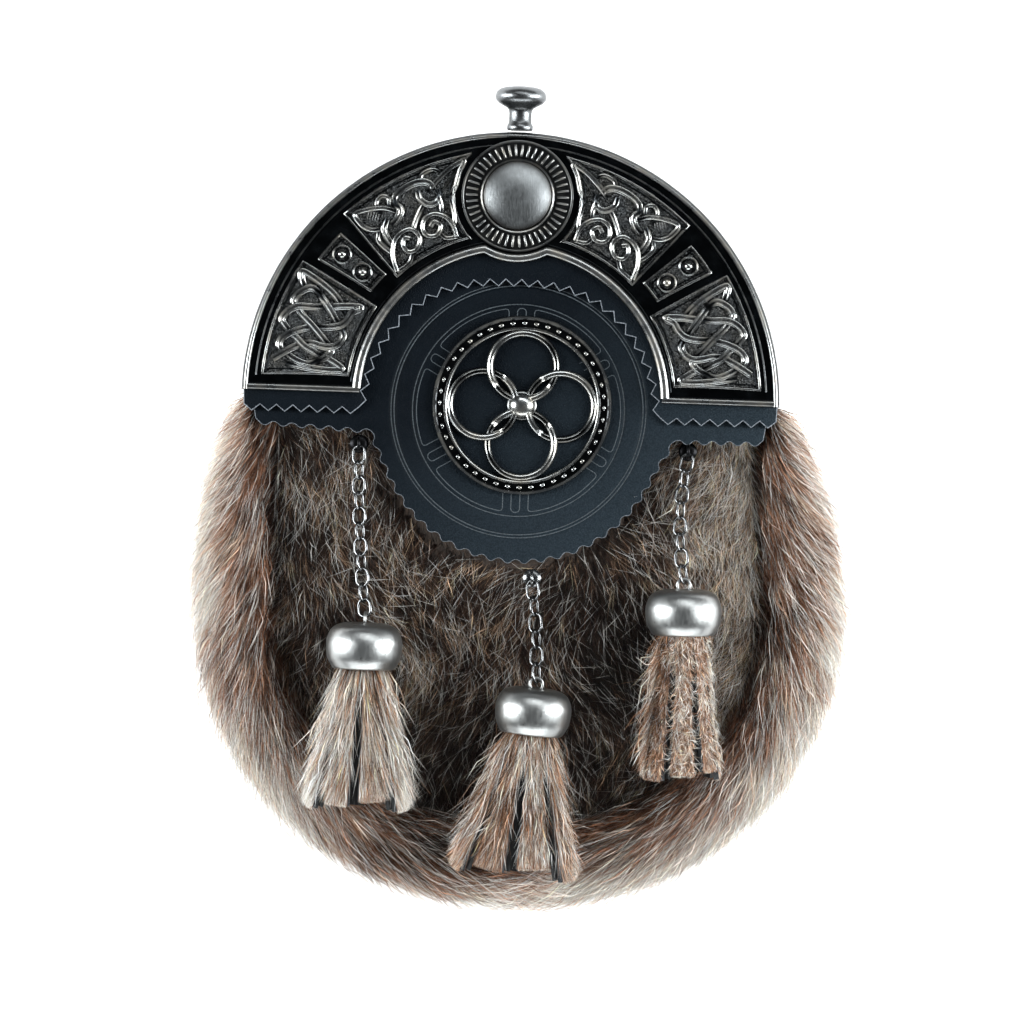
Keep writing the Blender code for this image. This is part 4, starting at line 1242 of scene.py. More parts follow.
    def close_tube(self, shape: Shape) -> None:
        """Joins the sheet's two long sides, then closes both ends."""
        rows, columns = self.stations + 1, len(smooth_path(ROLL_ROWS, self.across))
        shape.verts.ensure_lookup_table()
        lines = [[shape.verts[i * columns + j] for i in range(rows)] for j in (0, columns - 1)]
        sides = [shape.edges.get(pair) for line in lines for pair in zip(line, line[1:])]
        bmesh.ops.bridge_loops(shape, edges=sides)
        bmesh.ops.holes_fill(shape, edges=shape.edges, sides=columns + 2)


@dataclass
class FrontPelt:
    """The sheet of fur on the pouch's front.

    Fields:
        hem: the section of its edge, sideways and up, which runs on under the roll.
        flap_middle, flap_hides, flap_presses: the flap's disc, and how far round it fur is missing or flat.
    """

    rings: int = 34
    thick: float = 1.4
    skin_sunk: float = 2.6
    hem: tuple[Place, ...] = ((-1.5, 0.0), (5.0, -1.6), (5.0, -2.6), (-1.5, -1.0))
    flap_middle: Place = (3.0, -4.3)
    flap_hides: Place = (-4.0, 39.5)
    flap_presses: Place = (-11.0, 43.0)
    coat: Coat = Coat(
        count=45000, length=6.4, width=0.18, lift_root=28, lift_tip=8, messy=23, clump_reach=1.9,
        clump_pull=0.45, sunk=2.6, guard=0.18, guard_width=1.15, length_spread=0.36,
        deep=(0.0075, 0.0042, 0.0029), base=(0.057, 0.028, 0.017), pale=(1.35, 0.87, 0.56), seed=23,
        uneven=0.26,
        cream=-0.37, lock_tone=0.46, straight=0.98, jitter=0.75,
        patches=(
            Patch(60, -4, 9, 34, 1.25), Patch(54, -50, 12, 20, 0.62), Patch(-24, -46, 9, 12, 0.36),
            Patch(-48, 6, 5, 22, 0.32), Patch(28, -86, 14, 7, 0.15), Patch(-2, -44, 4, 10, 0.3),
            Patch(46, -14, 8, 18, 0.45), Patch(26, -44, 12, 20, -0.95), Patch(-14, -70, 12, 12, -0.6),
            # Patch(69, -40) is a narrow strip of painted shade along the crease beside the roll.
            Patch(69, -40, 3, 34, -0.95), Patch(-2, -92, 30, 8, -0.75),
        ),
    )

    def near_flap(self, flat: Rows, reach: Place) -> Rows:
        """Whether each place is above this Y of the cantle's axes, or this near the disc's middle."""
        x, y = np.moveaxis(to_cantle(flat.reshape(-1, 2)).reshape(flat.shape), -1, 0)
        away = np.hypot(x - self.flap_middle[0], y - self.flap_middle[1])
        return (y > reach[0]) | (away < reach[1])

    def surface(self) -> Surface:
        """The dished sheet, as rings from its middle to its edge."""
        shares = np.linspace(0.02, 1.0, self.rings)
        edge = np.vstack((PELT_OUTLINE, PELT_OUTLINE[:1]))
        middle = np.array(PELT_MIDDLE)
        flat = middle + (edge - middle)[:, None] * shares[None, :, None]
        low = edge_heights(edge[:, 1])[:, None]
        heights = low + (PELT_PEAK_Z - low) * (1 - shares[None] ** 3)
        places = np.concatenate((flat, heights[..., None]), axis=2)
        weights = np.where(shares[None] > 0.94, 2.2, 1.0)
        return Surface(places, np.where(self.near_flap(flat, self.flap_hides), 0.0, weights)).faced((0, 0, 1))

    @staticmethod
    def lay(places: Rows) -> Rows:
        """Mostly down the pouch, in swirls."""
        x, y = places[:, 0], places[:, 1]
        swirl = 38 * np.sin(x * 0.09 + 1.3 * np.sin(y * 0.055)) + 26 * np.sin(y * 0.13 + x * 0.05 + 1.0)
        turn = np.radians(-90 + swirl * 0.7)
        return np.column_stack((np.cos(turn), np.sin(turn), np.zeros(len(x))))

    def build(self) -> None:
        """The skin and its hair."""
        surface = self.surface()
        mesh = self.coat.tone(self.sheet(surface.skin(self.skin_sunk)))
        finish_piece("front_skin", mesh, [PELT_SKIN], "front_pelt")
        rng = np.random.default_rng(self.coat.seed)
        roots = surface.sample(self.coat.count, rng)
        under = self.near_flap(roots["places"][:, :2], self.flap_presses)
        roots["ceiling"] = np.where(under, FLAP_Z - 0.15, OPEN_CEILING)
        hair = self.coat.grow(roots, self.lay(roots["places"]), rng)
        finish_piece("front_hair", hair, [PELT_HAIR])

    def sheet(self, shape: Shape) -> Mesh:
        """The skin's mesh, joined round its middle, thick, and with a hem that runs on under the roll."""
        bmesh.ops.remove_doubles(shape, verts=shape.verts, dist=0.01)
        bmesh.ops.recalc_face_normals(shape, faces=shape.faces)
        bmesh.ops.solidify(shape, geom=shape.faces[:], thickness=self.thick)
        edge = PELT_OUTLINE[:ROLL_STEPS + 1]
        line = np.column_stack((edge, edge_heights(edge[:, 1]) - self.skin_sunk - 0.2))
        sweep(shape, line, np.array(self.hem))
        return to_mesh(shape)


# ---------------------------------------------------------------- cantle


@dataclass(frozen=True)
class Panel:
    """One raised panel of the cantle, between two radii and two angles from the cantle's axis.

    Fields:
        inner, outer: its two radii.
        near_inner, near_outer: angle of its near side, at its inner and outer edge.
        far_inner, far_outer: the same for its far side.
        round_targe: how far it keeps from the targe's middle.
    """

    inner: float
    outer: float
    near_inner: float
    near_outer: float
    far_inner: float
    far_outer: float
    round_targe: float = 0.0

    def place(self, side: int, along: float, out: float) -> Place:
        """A place in the cantle's axes.

        Args:
            side: -1 on the left and 1 on the right.
            along: 0 at the edge nearest the axis and 1 at the farthest.
            out: 0 at the inner edge and 1 at the outer.

        Returns:
            X and Y.
        """
        radius = self.inner + (self.outer - self.inner) * out
        near = self.near_inner + (self.near_outer - self.near_inner) * out
        far = self.far_inner + (self.far_outer - self.far_inner) * out
        turn = math.radians(near + (far - near) * along)
        x, y = side * radius * math.sin(turn), radius * math.cos(turn)
        away = math.hypot(x, y - TARGE_Y)
        if away < self.round_targe:
            x, y = x * self.round_targe / away, TARGE_Y + (y - TARGE_Y) * self.round_targe / away
        return x, y

    def border(self, side: int, inwards: float) -> Outline:
        """The panel's outline, counter-clockwise.

        Args:
            side: -1 on the left and 1 on the right.
            inwards: how far it is moved inwards.

        Returns:
            Its places.
        """
        steps = np.linspace(0, 1, 13)
        legs = [(a, 1.0) for a in steps] + [(1.0, 1 - a) for a in steps[1:]]
        legs += [(1 - a, 0.0) for a in steps[1:]] + [(0.0, a) for a in steps[1:-1]]
        outline = [self.place(side, *leg) for leg in legs]
        return inset_outline(outline[::-side], inwards)


PLAIT = Panel(44.6, 68.3, 56.8, 57.9, 83.1, 85.7)
BOSSES = Panel(48.4, 65.1, 46.5, 47.3, 53.9, 55.6)
KNOT = Panel(45.8, 68.3, 14.5, 10.6, 44.4, 43.6, round_targe=17.2)
PANELS = [(side, panel) for side in (-1, 1) for panel in (PLAIT, BOSSES, KNOT)]


@dataclass(frozen=True)
class Band:
    """A band of knotwork.

    Fields:
        bends: along and out in hundredths of its panel, and level, at each bend.
        half_width, height: its section's size.
    """

    bends: tuple[Triple, ...]
    half_width: float = 1.12
    height: float = 0.62


PLAIT_BANDS = (
    Band(((87, 90, 1), (81, 80, 1), (74, 68, 1), (70, 61, 0), (68, 51, 1), (69, 39, 1), (68, 28, 1),
          (62, 20, 1), (53, 18, 1), (46, 21, 0), (40, 29, 0), (32, 40, 1), (24, 53, 1), (19, 64, 0),
          (17, 74, 1), (21, 81, 1), (28, 86, 1), (35, 86, 1), (38, 80, 0), (44, 70, 1), (51, 55, 1),
          (60, 40, 1), (67, 30, 0), (73, 26, 1), (80, 30, 1), (86, 39, 0), (90, 50, 1), (86, 65, 1),
          (80, 77, 0), (76, 85, 1), (69, 85, 1), (62, 77, 1), (56, 65, 1), (51, 53, 0), (47, 37, 1),
          (41, 26, 1), (31, 21, 1), (21, 20, 1), (11, 14, 1), (17, 28, 1), (24, 41, 1), (28, 50, 0),
          (33, 64, 1), (37, 79, 1), (44, 88, 1), (52, 91, 1), (57, 85, 1), (61, 77, 0), (66, 68, 1),
          (72, 58, 1), (76, 46, 1), (80, 35, 0), (83, 24, 1), (92, 9, 1), (95, 22, 1), (94, 43, 1),
          (92, 59, 1), (90, 74, 0))),
    Band(((23, 75, 0), (19, 83, 0), (14, 90, 1), (8, 94, 1), (8, 80, 1), (10, 62, 1), (14, 46, 1),
          (20, 34, 0), (25, 25, 0))),
)
KNOT_BANDS = (
    Band(((66, 65, 0), (73, 76, 1), (83, 85, 1), (94, 91, 1), (95, 76, 1), (91, 64, 1), (83, 57, 0)), 0.9),
    Band(((37, 69, 0), (29, 77, 1), (17, 88, 1), (6, 94, 1), (8, 80, 1), (14, 64, 1), (21, 53, 0)), 0.9),
    Band(((75, 54, 0), (68, 56, 1), (62, 64, 1), (64, 74, 0), (60, 82, 1), (51, 85, 1), (41, 84, 1),
          (34, 78, 1), (32, 68, 0)), 1.15),
    Band(((78, 71, 0), (78, 79, 0), (76, 87, 1), (71, 90, 1), (67, 84, 1), (69, 76, 0)), 0.75),
    Band(((40, 87, 0), (37, 92, 1), (30, 93, 1), (25, 88, 0)), 0.75),
    Band(((44, 75, 0), (44, 64, 1), (39, 55, 1), (33, 53, 1), (28, 60, 0), (28, 68, 0)), 1.0),
    Band(((76, 63, 0), (82, 55, 1), (84, 41, 1), (82, 32, 0)), 1.0),
    Band(((87, 57, 0), (92, 47, 1), (89, 29, 1), (84, 22, 0)), 0.8),
    Band(((42, 58, 0), (49, 50, 1), (57, 39, 1), (60, 33, 0)), 0.9),
    Band(((29, 61, 0), (28, 49, 1), (29, 40, 0)), 0.9),
    Band(((19, 53, 0), (18, 41, 1), (18, 28, 1), (20, 18, 0)), 0.8),
    Band(((96, 5, 1), (90, 22, 1), (80, 36, 1), (69, 40, 1), (60, 36, 1), (57, 22, 1), (65, 13, 1),
          (74, 16, 1), (75, 26, 1), (70, 32, 1), (66, 28, 1)), 0.8, 0.7),
    Band(((96, 5, 1), (80, 4, 1), (71, 11, 0)), 0.75, 0.6),
    Band(((19, 6, 1), (21, 21, 1), (27, 34, 1), (37, 42, 1), (46, 40, 1), (51, 30, 1), (48, 20, 1),
          (39, 17, 1), (33, 25, 1), (38, 33, 1), (43, 29, 1)), 0.8, 0.7),
    Band(((19, 6, 1), (31, 9, 1), (36, 17, 0)), 0.75, 0.6),
)


@dataclass
class Cantle:
    """The cast arch: a black face with raised panels inside rolled rims, over a flared flange.

    Fields:
        ground_z, panel_z: heights of the black face and of the panels' floors.
        inner_lines, outer_line, frame_lines: how far in each raised line lies, its half width and its height.
        foot_bar: each foot's bar: its two ends' X, its Y, its half width and its height.
        band_lift: how much higher a band passes over than under.
        bosses, boss_angle: the two bosses' radii and their angle.
        leaves: both ends of each leaf's row of ribs, along and out in hundredths of the knot panel.
        flange_section: radius and height round the flange and its rolled rim.
    """

    ground_z: float = 42.35
    panel_z: float = 42.5
    face_thick: float = 1.4
    ground_thick: float = 0.4
    inner_lines: tuple[Colour, ...] = ((1.35, 1.3, 0.95), (3.0, 0.22, 0.3))
    outer_line: Colour = (4.0, 0.32, 0.42)
    frame_lines: tuple[Colour, ...] = ((0.2, 0.52, 0.62), (1.35, 0.25, 0.36))
    foot_bar: tuple[float, ...] = (72.9, 41.3, 1.75, 1.0, 0.7)
    band_lift: float = 0.34
    bosses: Place = (53.5, 60.9)
    boss_angle: float = 50.9
    boss_rings: tuple[Colour, ...] = ((2.45, 0.36, 0.55), (1.75, 0.2, 0.3))
    leaves: tuple[tuple[Place, Place], ...] = (((88, 82), (80, 70)), ((12, 84), (24, 66)))
    leaf_ribs: int = 5
    arch_steps: int = 120
    flange_section: tuple[Place, ...] = (
        (71.6, 42.3), (71.9, 42.95), (72.35, 43.2), (72.8, 43.0), (73.1, 42.4), (73.35, 41.2), (73.62, 39.0),
        (73.76, 36.0), (73.8, 33.3), (73.55, 32.95), (72.9, 32.95), (72.65, 33.3), (72.5, 38.0), (72.0, 41.3),
    )

    def outline(self, inwards: float) -> Outline:
        """The arch with the bump that carries the targe, counter-clockwise from its right foot."""
        radius, inner, bump = CANTLE_RADIUS - inwards, INNER_RADIUS + inwards, TARGE_BUMP - inwards
        foot_y = CANTLE_FOOT_Y + inwards
        foot, inner_foot = (math.degrees(math.asin(foot_y / r)) for r in (radius, inner))
        meet_y = (TARGE_Y**2 + inner**2 - bump**2) / (2 * TARGE_Y)
        meet_x = math.sqrt(max(inner**2 - meet_y**2, 0.01))
        inner_angle = math.degrees(math.atan2(meet_y, meet_x))
        bump_angle = math.degrees(math.atan2(meet_x, TARGE_Y - meet_y))
        outline = arc((0, 0), radius, foot, 180 - foot, self.arch_steps)
        outline += arc((0, 0), inner, 180 - inner_foot, 180 - inner_angle, 44)
        outline += arc((0, TARGE_Y), bump, 270 - bump_angle, 270 + bump_angle, 16)[1:-1]
        return outline + arc((0, 0), inner, inner_angle, inner_foot, 44)

    def build(self) -> None:
        """All of the casting as one piece."""
        parts = (
            (0, self.plate()), (3, self.flange()), (3, self.rims()), (1, self.frames()),
            (2, self.grounds()), (1, self.knotwork()), (1, self.bosses_shape()),
        )
        meshes = []
        for number, shape in parts:
            for face in shape.faces:
                face.material_index = number
            meshes.append(to_mesh(shape))
        mesh = joined(meshes)
        store(mesh, "relief", (vertex_places(mesh)[:, 2] - self.ground_z - 0.1) / 0.85)
        finishes = [BLACK_ENAMEL, ANTIQUE_CASTING, STIPPLED_GROUND, ROLLED_RIM]
        finish_piece("cantle_casting", mesh, finishes, "cantle", CANTLE_AXES, 60)

    def plate(self) -> Shape:
        """The black face."""
        shape = bmesh.new()
        face = draw_outline(shape, self.outline(0.6), self.ground_z)
        thicken(shape, [face], self.face_thick)
        return shape

    def flange(self) -> Shape:
        """The flared band outside the arch, with the rolled rim on top of it."""
        foot = math.asin((CANTLE_FOOT_Y + 0.1) / CANTLE_RADIUS)
        shape = bmesh.new()
        ring = [shape.verts.new((r * math.cos(foot), r * math.sin(foot), z)) for r, z in self.flange_section]
        edges = ring_edges(shape, ring)
        start = bmesh.ops.edgeloop_fill(shape, edges=edges)["faces"]
        bmesh.ops.spin(shape, geom=edges, cent=(0, 0, 0), axis=(0, 0, 1), angle=math.pi - 2 * foot,
                       steps=self.arch_steps)
        loose = [edge for edge in shape.edges if len(edge.link_faces) == 1 and edge not in start[0].edges]
        bmesh.ops.edgeloop_fill(shape, edges=loose)
        return shape

    def rims(self) -> Shape:
        """The raised lines along the arch's two sides and the flat bars across its two feet."""
        shape = bmesh.new()
        for inwards, *size in self.inner_lines:
            inner_side = self.outline(inwards)[self.arch_steps + 1:]
            sweep(shape, level(inner_side, self.ground_z), half_round(*size))
        inwards, *size = self.outer_line
        outer_side = self.outline(inwards)[:self.arch_steps + 1]
        sweep(shape, level(outer_side, self.ground_z), half_round(*size))
        far, near, y, *size = self.foot_bar
        for side in (-1, 1):
            start, end = level(((side * far, y), (side * near, y)), self.ground_z)
            steps = np.linspace(0, 1, 9)[:, None]
            sweep(shape, start * (1 - steps) + end * steps, half_round(*size))
        return shape

    def frames(self) -> Shape:
        """Each panel's double frame."""
        shape = bmesh.new()
        for side, panel in PANELS:
            for inwards, *size in self.frame_lines:
                path = level(panel.border(side, inwards), self.panel_z - 0.1)
                sweep(shape, path, half_round(*size), closed=True)
        return shape

    def grounds(self) -> Shape:
        """The stippled floor of each panel."""
        shape = bmesh.new()
        for side, panel in PANELS:
            face = draw_outline(shape, panel.border(side, 0.3), self.panel_z)
            thicken(shape, [face], self.ground_thick)
        return shape

    def knotwork(self) -> Shape:
        """The interlaced bands, which pass over and under each other."""
        shape = bmesh.new()
        low = self.panel_z - 0.3
        for side in (-1, 1):
            for panel, bands in ((PLAIT, PLAIT_BANDS), (KNOT, KNOT_BANDS)):
                for band in bands:
                    bends = [(*panel.place(side, a / 100, b / 100), low + self.band_lift * over)
                             for a, b, over in band.bends]
                    sweep(shape, smooth_path(bends, 4), grooved_band(band.half_width, band.height))
            self.draw_leaf_ribs(shape, side)
        return shape

    def draw_leaf_ribs(self, shape: Shape, side: int) -> None:
        """Short ribs inside the two leaves of the knot panel.

        Args:
            shape: the bmesh that they are drawn into.
            side: -1 on the left and 1 on the right.
        """
        for start, end in self.leaves:
            for share in np.linspace(0.15, 0.9, self.leaf_ribs):
                along, out = (a + (b - a) * share for a, b in zip(start, end))
                reach = 3.2 * math.sin(math.pi * (0.25 + 0.55 * share))
                ends = [KNOT.place(side, (along + way * reach * 0.7) / 100, (out - way * reach * 0.9) / 100)
                        for way in (-1, 1)]
                sweep(shape, level(ends, self.panel_z), half_round(0.24, 0.4))

    def bosses_shape(self) -> Shape:
        """Two ringed bosses on each small panel."""
        shape = bmesh.new()
        turn = math.radians(self.boss_angle)
        for side in (-1, 1):
            for radius in self.bosses:
                middle = (side * radius * math.sin(turn), radius * math.cos(turn))
                for ring, *size in self.boss_rings:
                    circle = level(arc(middle, ring, 0, 345, 23), self.panel_z)
                    sweep(shape, circle, half_round(*size), closed=True)
                dome = bmesh.ops.create_uvsphere(shape, u_segments=20, v_segments=10, radius=1.2)["verts"]
                place_shape(shape, dome, (1, 1, 0.85), (*middle, self.panel_z))
        return shape


@dataclass
class Targe:
    """The domed boss at the top of the arch, in its collar of ribs.

    Fields:
        dome_rise, dome_foot: heights of the dome's top and of the foot of its curve.
        rib_reach: how far from the middle each rib starts and ends.
        collar_section: radius and height round the collar.
        low: height of the face that it stands on.
    """

    dome_radius: float = 9.2
    dome_rise: float = 5.0
    dome_foot: float = 3.1
    ribs: int = 46
    rib_reach: Place = (10.6, 14.2)
    low: float = 43.0
    collar_section: tuple[Place, ...] = (
        (9.3, 0.0), (9.35, 0.75), (9.7, 0.95), (10.05, 0.75), (10.2, 0.35), (14.5, 0.35), (14.7, 0.62),
        (14.95, 0.7), (15.2, 0.6), (15.35, 0.0), (15.35, -0.4), (9.3, -0.4),
    )

    def build(self) -> None:
        """The dome and its collar."""
        place = CANTLE_AXES @ Matrix.Translation((0, TARGE_Y, self.low))
        rise = self.dome_rise - self.dome_foot
        ball = (self.dome_radius**2 + rise**2) / (2 * rise)
        crown = [(r, self.dome_rise - ball + math.sqrt(ball**2 - r**2))
                 for r in np.linspace(self.dome_radius, 0, 14)]
        mesh = to_mesh(turned_shape([(0.0, -0.2), (self.dome_radius, -0.2), *crown], 72))
        # The dome is darker towards its rim: antique patina at its foot, and painted shade that dims the
        # lamps' reflections there.
        store(mesh, "relief", 1.0 - (vertex_radii(mesh) / self.dome_radius) ** 4)
        finish_piece("targe_dome", mesh, [DARK_PEWTER], "targe", place, 40)
        finish_piece("targe_collar", self.collar(), [RIBBED_COLLAR], "", place, 50)

    def collar(self) -> Mesh:
        """A flat ring with its ribs and two fine rims."""
        shape = turned_shape(self.collar_section, 96, closed_section=True)
        near, far = self.rib_reach
        for i in range(self.ribs):
            rib = bmesh.ops.create_cube(shape, size=1.0)["verts"]
            bmesh.ops.scale(shape, verts=rib, vec=(far - near, 0.92, 0.85))
            crown = [v for v in rib if v.co.z > 0]
            bmesh.ops.scale(shape, verts=crown, vec=(0.86, 0.55, 1.0))
            place_shape(shape, rib, (1, 1, 1), ((near + far) / 2, 0, 0.55), 2 * math.pi * i / self.ribs)
            rims = dict.fromkeys(edge for vert in rib for edge in vert.link_edges if vert.co.z > 0.6)
            round_off(shape, rims, 0.14, 1)
        return to_mesh(shape, relief=(0.2, 0.95))


@dataclass
class Knob:
    """The turned finial on top of the arch.

    Fields:
        top_y: Y of its top on the pouch.
        section: radius and height from its top to its foot.
    """

    top_y: float = 112.3
    section: tuple[Place, ...] = (
        (0.0, 12.2), (2.6, 12.15), (4.4, 11.95), (5.8, 11.45), (6.7, 10.6), (7.05, 9.5), (6.85, 8.4),
        (6.0, 7.5), (4.6, 6.75), (3.6, 6.2), (3.2, 5.5), (3.1, 4.8), (3.1, 2.6), (3.25, 1.9), (3.55, 1.5),
        (3.6, 0.6), (3.4, 0.15), (0.0, 0.15),
    )

    def build(self) -> None:
        """The knob, its foot on the flange."""
        low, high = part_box("knob")
        lean = abs(math.tan(CANTLE_TURN)) * 4.6
        top = (self.top_y - CANTLE_AT[1]) / math.cos(CANTLE_TURN) - lean
        place = CANTLE_AXES @ Matrix.Translation((0, top - self.section[0][1], (low.z + high.z) / 2 / MM))
        mesh = to_mesh(turned_shape(self.section, 48))
        store(mesh, "relief", vertex_radii(mesh) / 4.5 - 0.35)
        place = place @ Matrix.Rotation(math.radians(-90), 4, "X")
        finish_piece("knob_turned", mesh, [TURNED_STEEL], "knob", place, 35)


# ---------------------------------------------------------------- leathers


DOWN = (0.0, -1.0)


def toothed_line(start: Place, end: Place, pitch: float, tooth: float) -> Outline:
    """Zigzag places from start towards end.

    Args:
        start: where the line starts.
        end: where it would end; this place is left out.
        pitch: distance from tip to tip.
        tooth: how far the tips stand down.

    Returns:
        The line's places.
    """
    way = np.subtract(end, start)
    count = max(1, round(float(np.linalg.norm(way)) / pitch))
    shares = np.arange(count * 2) / (count * 2)
    lifts = np.where(np.arange(count * 2) % 2, tooth, 0.0)
    places = np.array(start) + way * shares[:, None] + np.array(DOWN) * lifts[:, None]
    return [tuple(place) for place in places]


def toothed_arc(middle: Place, radius_at: Callable[[float], float], ends: Place, pitch: float,
                tooth: float) -> Outline:
    """Zigzag places on an arc.

    Args:
        middle: the arc's middle.
        radius_at: gives the radius of the outer tips at an angle in degrees.
        ends: the angles at which it starts and ends.
        pitch: distance from tip to tip.
        tooth: how far the inner corners lie inside the tips.

    Returns:
        The arc's places.
    """
    first, last = ends
    count = round(abs(math.radians(last - first)) * radius_at(270) / pitch)
    outline = []
    for i, angle in enumerate(np.linspace(first, last, count * 2 + 1)):
        outline += arc(middle, radius_at(angle) - (tooth if i % 2 else 0.0), angle, angle, 1)[:1]
    return outline


def softened(line: Outline, times: int) -> Outline:
    """Cuts every corner of an open line, so that a zigzag becomes a wave."""
    points = np.array(line)
    for _ in range(times):
        here, after = points[:-1], points[1:]
        cut = np.stack((here * 0.75 + after * 0.25, here * 0.25 + after * 0.75), axis=1).reshape(-1, 2)
        points = np.vstack((points[:1], cut, points[-1:]))
    return [tuple(place) for place in points]


def pierced(shape: Shape, outlines: Iterable[Outline]) -> list[Face]:
    """Flat faces inside the first outline and outside the others."""
    edges = []
    for outline in outlines:
        edges += ring_edges(shape, [shape.verts.new((x, y, 0)) for x, y in outline])
    made = bmesh.ops.triangle_fill(shape, use_beauty=True, use_dissolve=False, edges=edges)["geom"]
    return [item for item in made if isinstance(item, bmesh.types.BMFace)]


def leather_plate(name: str, shape: Shape, faces: list[Face], low: float, thick: float, replaced: str = "",
                  finishes: Sequence[Finish] = (BLACK_LEATHER, BLACK_LEATHER),
                  turn: Matrix = CANTLE_AXES) -> None:
    """A sheet of leather with a raw edge, from the faces that are its top.

    Args:
        name: the piece's name.
        shape: the bmesh that holds the top, at a height of 0.
        faces: the top.
        low: height of its underside.
        thick: its thickness.
        replaced: the CAD node that it stands for, if it does.
        finishes: the grain side, the cut edge, and what faces marked "worn" have.
        turn: axes in which it is drawn.
    """
    rim = thicken(shape, faces, thick)
    cut = set(round_off(shape, rim, 0.22, 2))
    bmesh.ops.translate(shape, verts=shape.verts, vec=(0, 0, low + thick))
    bmesh.ops.recalc_face_normals(shape, faces=shape.faces)
    worn = shape.faces.layers.int.get("worn")
    for face in shape.faces:
        if face in cut or abs(face.normal.z) < 0.3:
            face.material_index = 1
        elif worn and face[worn]:
            face.material_index = 2
    finish_piece(name, to_mesh(shape), finishes, replaced, turn, 50)


@dataclass
class Flap:
    """The closing flap with its hanging disc, whose face is embossed with a spoked wheel.

    Fields:
        foot_x, foot_y, left_lift: its lower right corner, and how much higher the left one is.
        flares, flare_reach: how far the disc widens at its left and right end, and over how many degrees.
        disc: X, Y and radius of the hanging disc.
        pitch, wave: of its pinked edge.
        wheel_edge, wheel_rings, ring_wide: radii of the embossed wheel and its rings, and a ring's width.
        spoke_sides: how far beside a spoke's middle its outer and inner lines run.
        field: radii and corner of the fields between the spokes.
        tooled: a spoke line's half width and height.
        press: depth of a ring, which is worn over the width of line.
    """

    radius: float = 71.0
    corner_y: float = 2.0
    foot_x: float = 69.5
    foot_y: float = -8.3
    left_lift: float = 1.3
    flares: Place = (1.8, 3.0)
    flare_reach: float = 9.0
    disc: Triple = (3.0, -4.3, 40.6)
    pitch: float = 4.7
    wave: float = 2.2
    wheel_middle: Place = (2.3, -2.4)
    wheel_edge: float = 36.4
    wheel_rings: Triple = (34.9, 33.9, 28.9)
    ring_wide: float = 0.30
    wheel_spokes: int = 6
    spoke_sides: Place = (3.5, 1.2)
    field: Triple = (21.0, 27.9, 0.9)
    tooled: Place = (0.13, 0.07)
    press: float = 0.34
    line: float = 0.16
    segments: int = 384

    def outline(self) -> Outline:
        """The flap's edge, counter-clockwise from its upper right."""
        x, y, radius = self.disc
        drop = math.degrees(math.asin((y - self.foot_y) / radius))

        def radius_at(angle: float) -> float:
            """The disc's radius, wider where it meets the flap."""
            ends = zip(self.flares, (180 + drop, 360 - drop))
            wider = (flare * math.exp(-(((angle - end) / self.flare_reach) ** 2)) for flare, end in ends)
            return radius + sum(wider)

        corner = math.degrees(math.asin(self.corner_y / self.radius))
        left, right = (-self.foot_x, self.foot_y + self.left_lift), (self.foot_x, self.foot_y)
        hanging = toothed_arc((x, y), radius_at, (180 + drop, 360 - drop), self.pitch, self.wave)
        waves = toothed_line(left, hanging[0], self.pitch, self.wave) + hanging
        waves += toothed_line(hanging[-1], right, self.pitch, self.wave)[1:] + [right]
        edge = arc((0, 0), self.radius, corner, 180 - corner, 90) + softened(waves, 2)
        return [place for before, place in zip(edge[-1:] + edge, edge) if math.dist(before, place) > 0.12]

    def pressed(self, x: float, y: float) -> float:
        """Depth of the embossed rings at this place from the wheel's middle."""
        radius = math.hypot(x, y)
        near = (math.exp(-(((radius - ring) / self.ring_wide) ** 2)) for ring in self.wheel_rings)
        return self.press * max(near)

    def field_line(self, first: Place, last: Place) -> Rows:
        """A line out along one spoke, round under the wheel's ring, and in along the next.

        Args:
            first: the first spoke's angle, and how far beside its middle the line runs.
            last: the same for the next spoke.

        Returns:
            Places along the line.
        """
        near, far, corner = self.field

        def turn(side: Place, radius: float, beyond: float = 0.0) -> float:
            """The angle at this radius, so far beside the spoke."""
            return math.radians(side[0]) + (side[1] + beyond) / radius

        start, end = turn(first, far, corner), turn(last, far, -corner)
        steps = np.linspace(start, end, 2 + int((end - start) * far / 1.2))
        out = np.linspace(near, far - corner, 6)
        bevel = far - corner * 0.3
        polar = [(r, turn(first, r)) for r in out] + [(bevel, turn(first, far, corner * 0.3))]
        polar += [(far, angle) for angle in steps]
        polar += [(bevel, turn(last, far, -corner * 0.3))] + [(r, turn(last, r)) for r in out[::-1]]
        radius, angle = np.array(polar).T
        x, y = self.wheel_middle
        flat = np.zeros(len(radius))
        return np.column_stack((x + radius * np.cos(angle), y + radius * np.sin(angle), flat))

    def tool_spokes(self, shape: Shape) -> None:
        """Fine raised lines round the fields between the spokes, and along each spoke's middle."""
        wide, narrow = self.spoke_sides
        for i in range(self.wheel_spokes):
            angle, after = ((i + k + 0.5) * 360 / self.wheel_spokes for k in (0, 1))
            for ends in (((angle, wide), (after, -wide)), ((angle, -narrow), (angle, narrow))):
                sweep(shape, self.field_line(*ends), half_round(*self.tooled))

    def wheel_circle(self, shape: Shape, filled: bool) -> list[bmesh.types.BMVert]:
        """The vertices of a circle round the wheel, with a face if it is filled."""
        made = bmesh.ops.create_circle(shape, cap_ends=filled, radius=self.wheel_edge, segments=self.segments)
        bmesh.ops.translate(shape, verts=made["verts"], vec=(*self.wheel_middle, 0))
        return made["verts"]

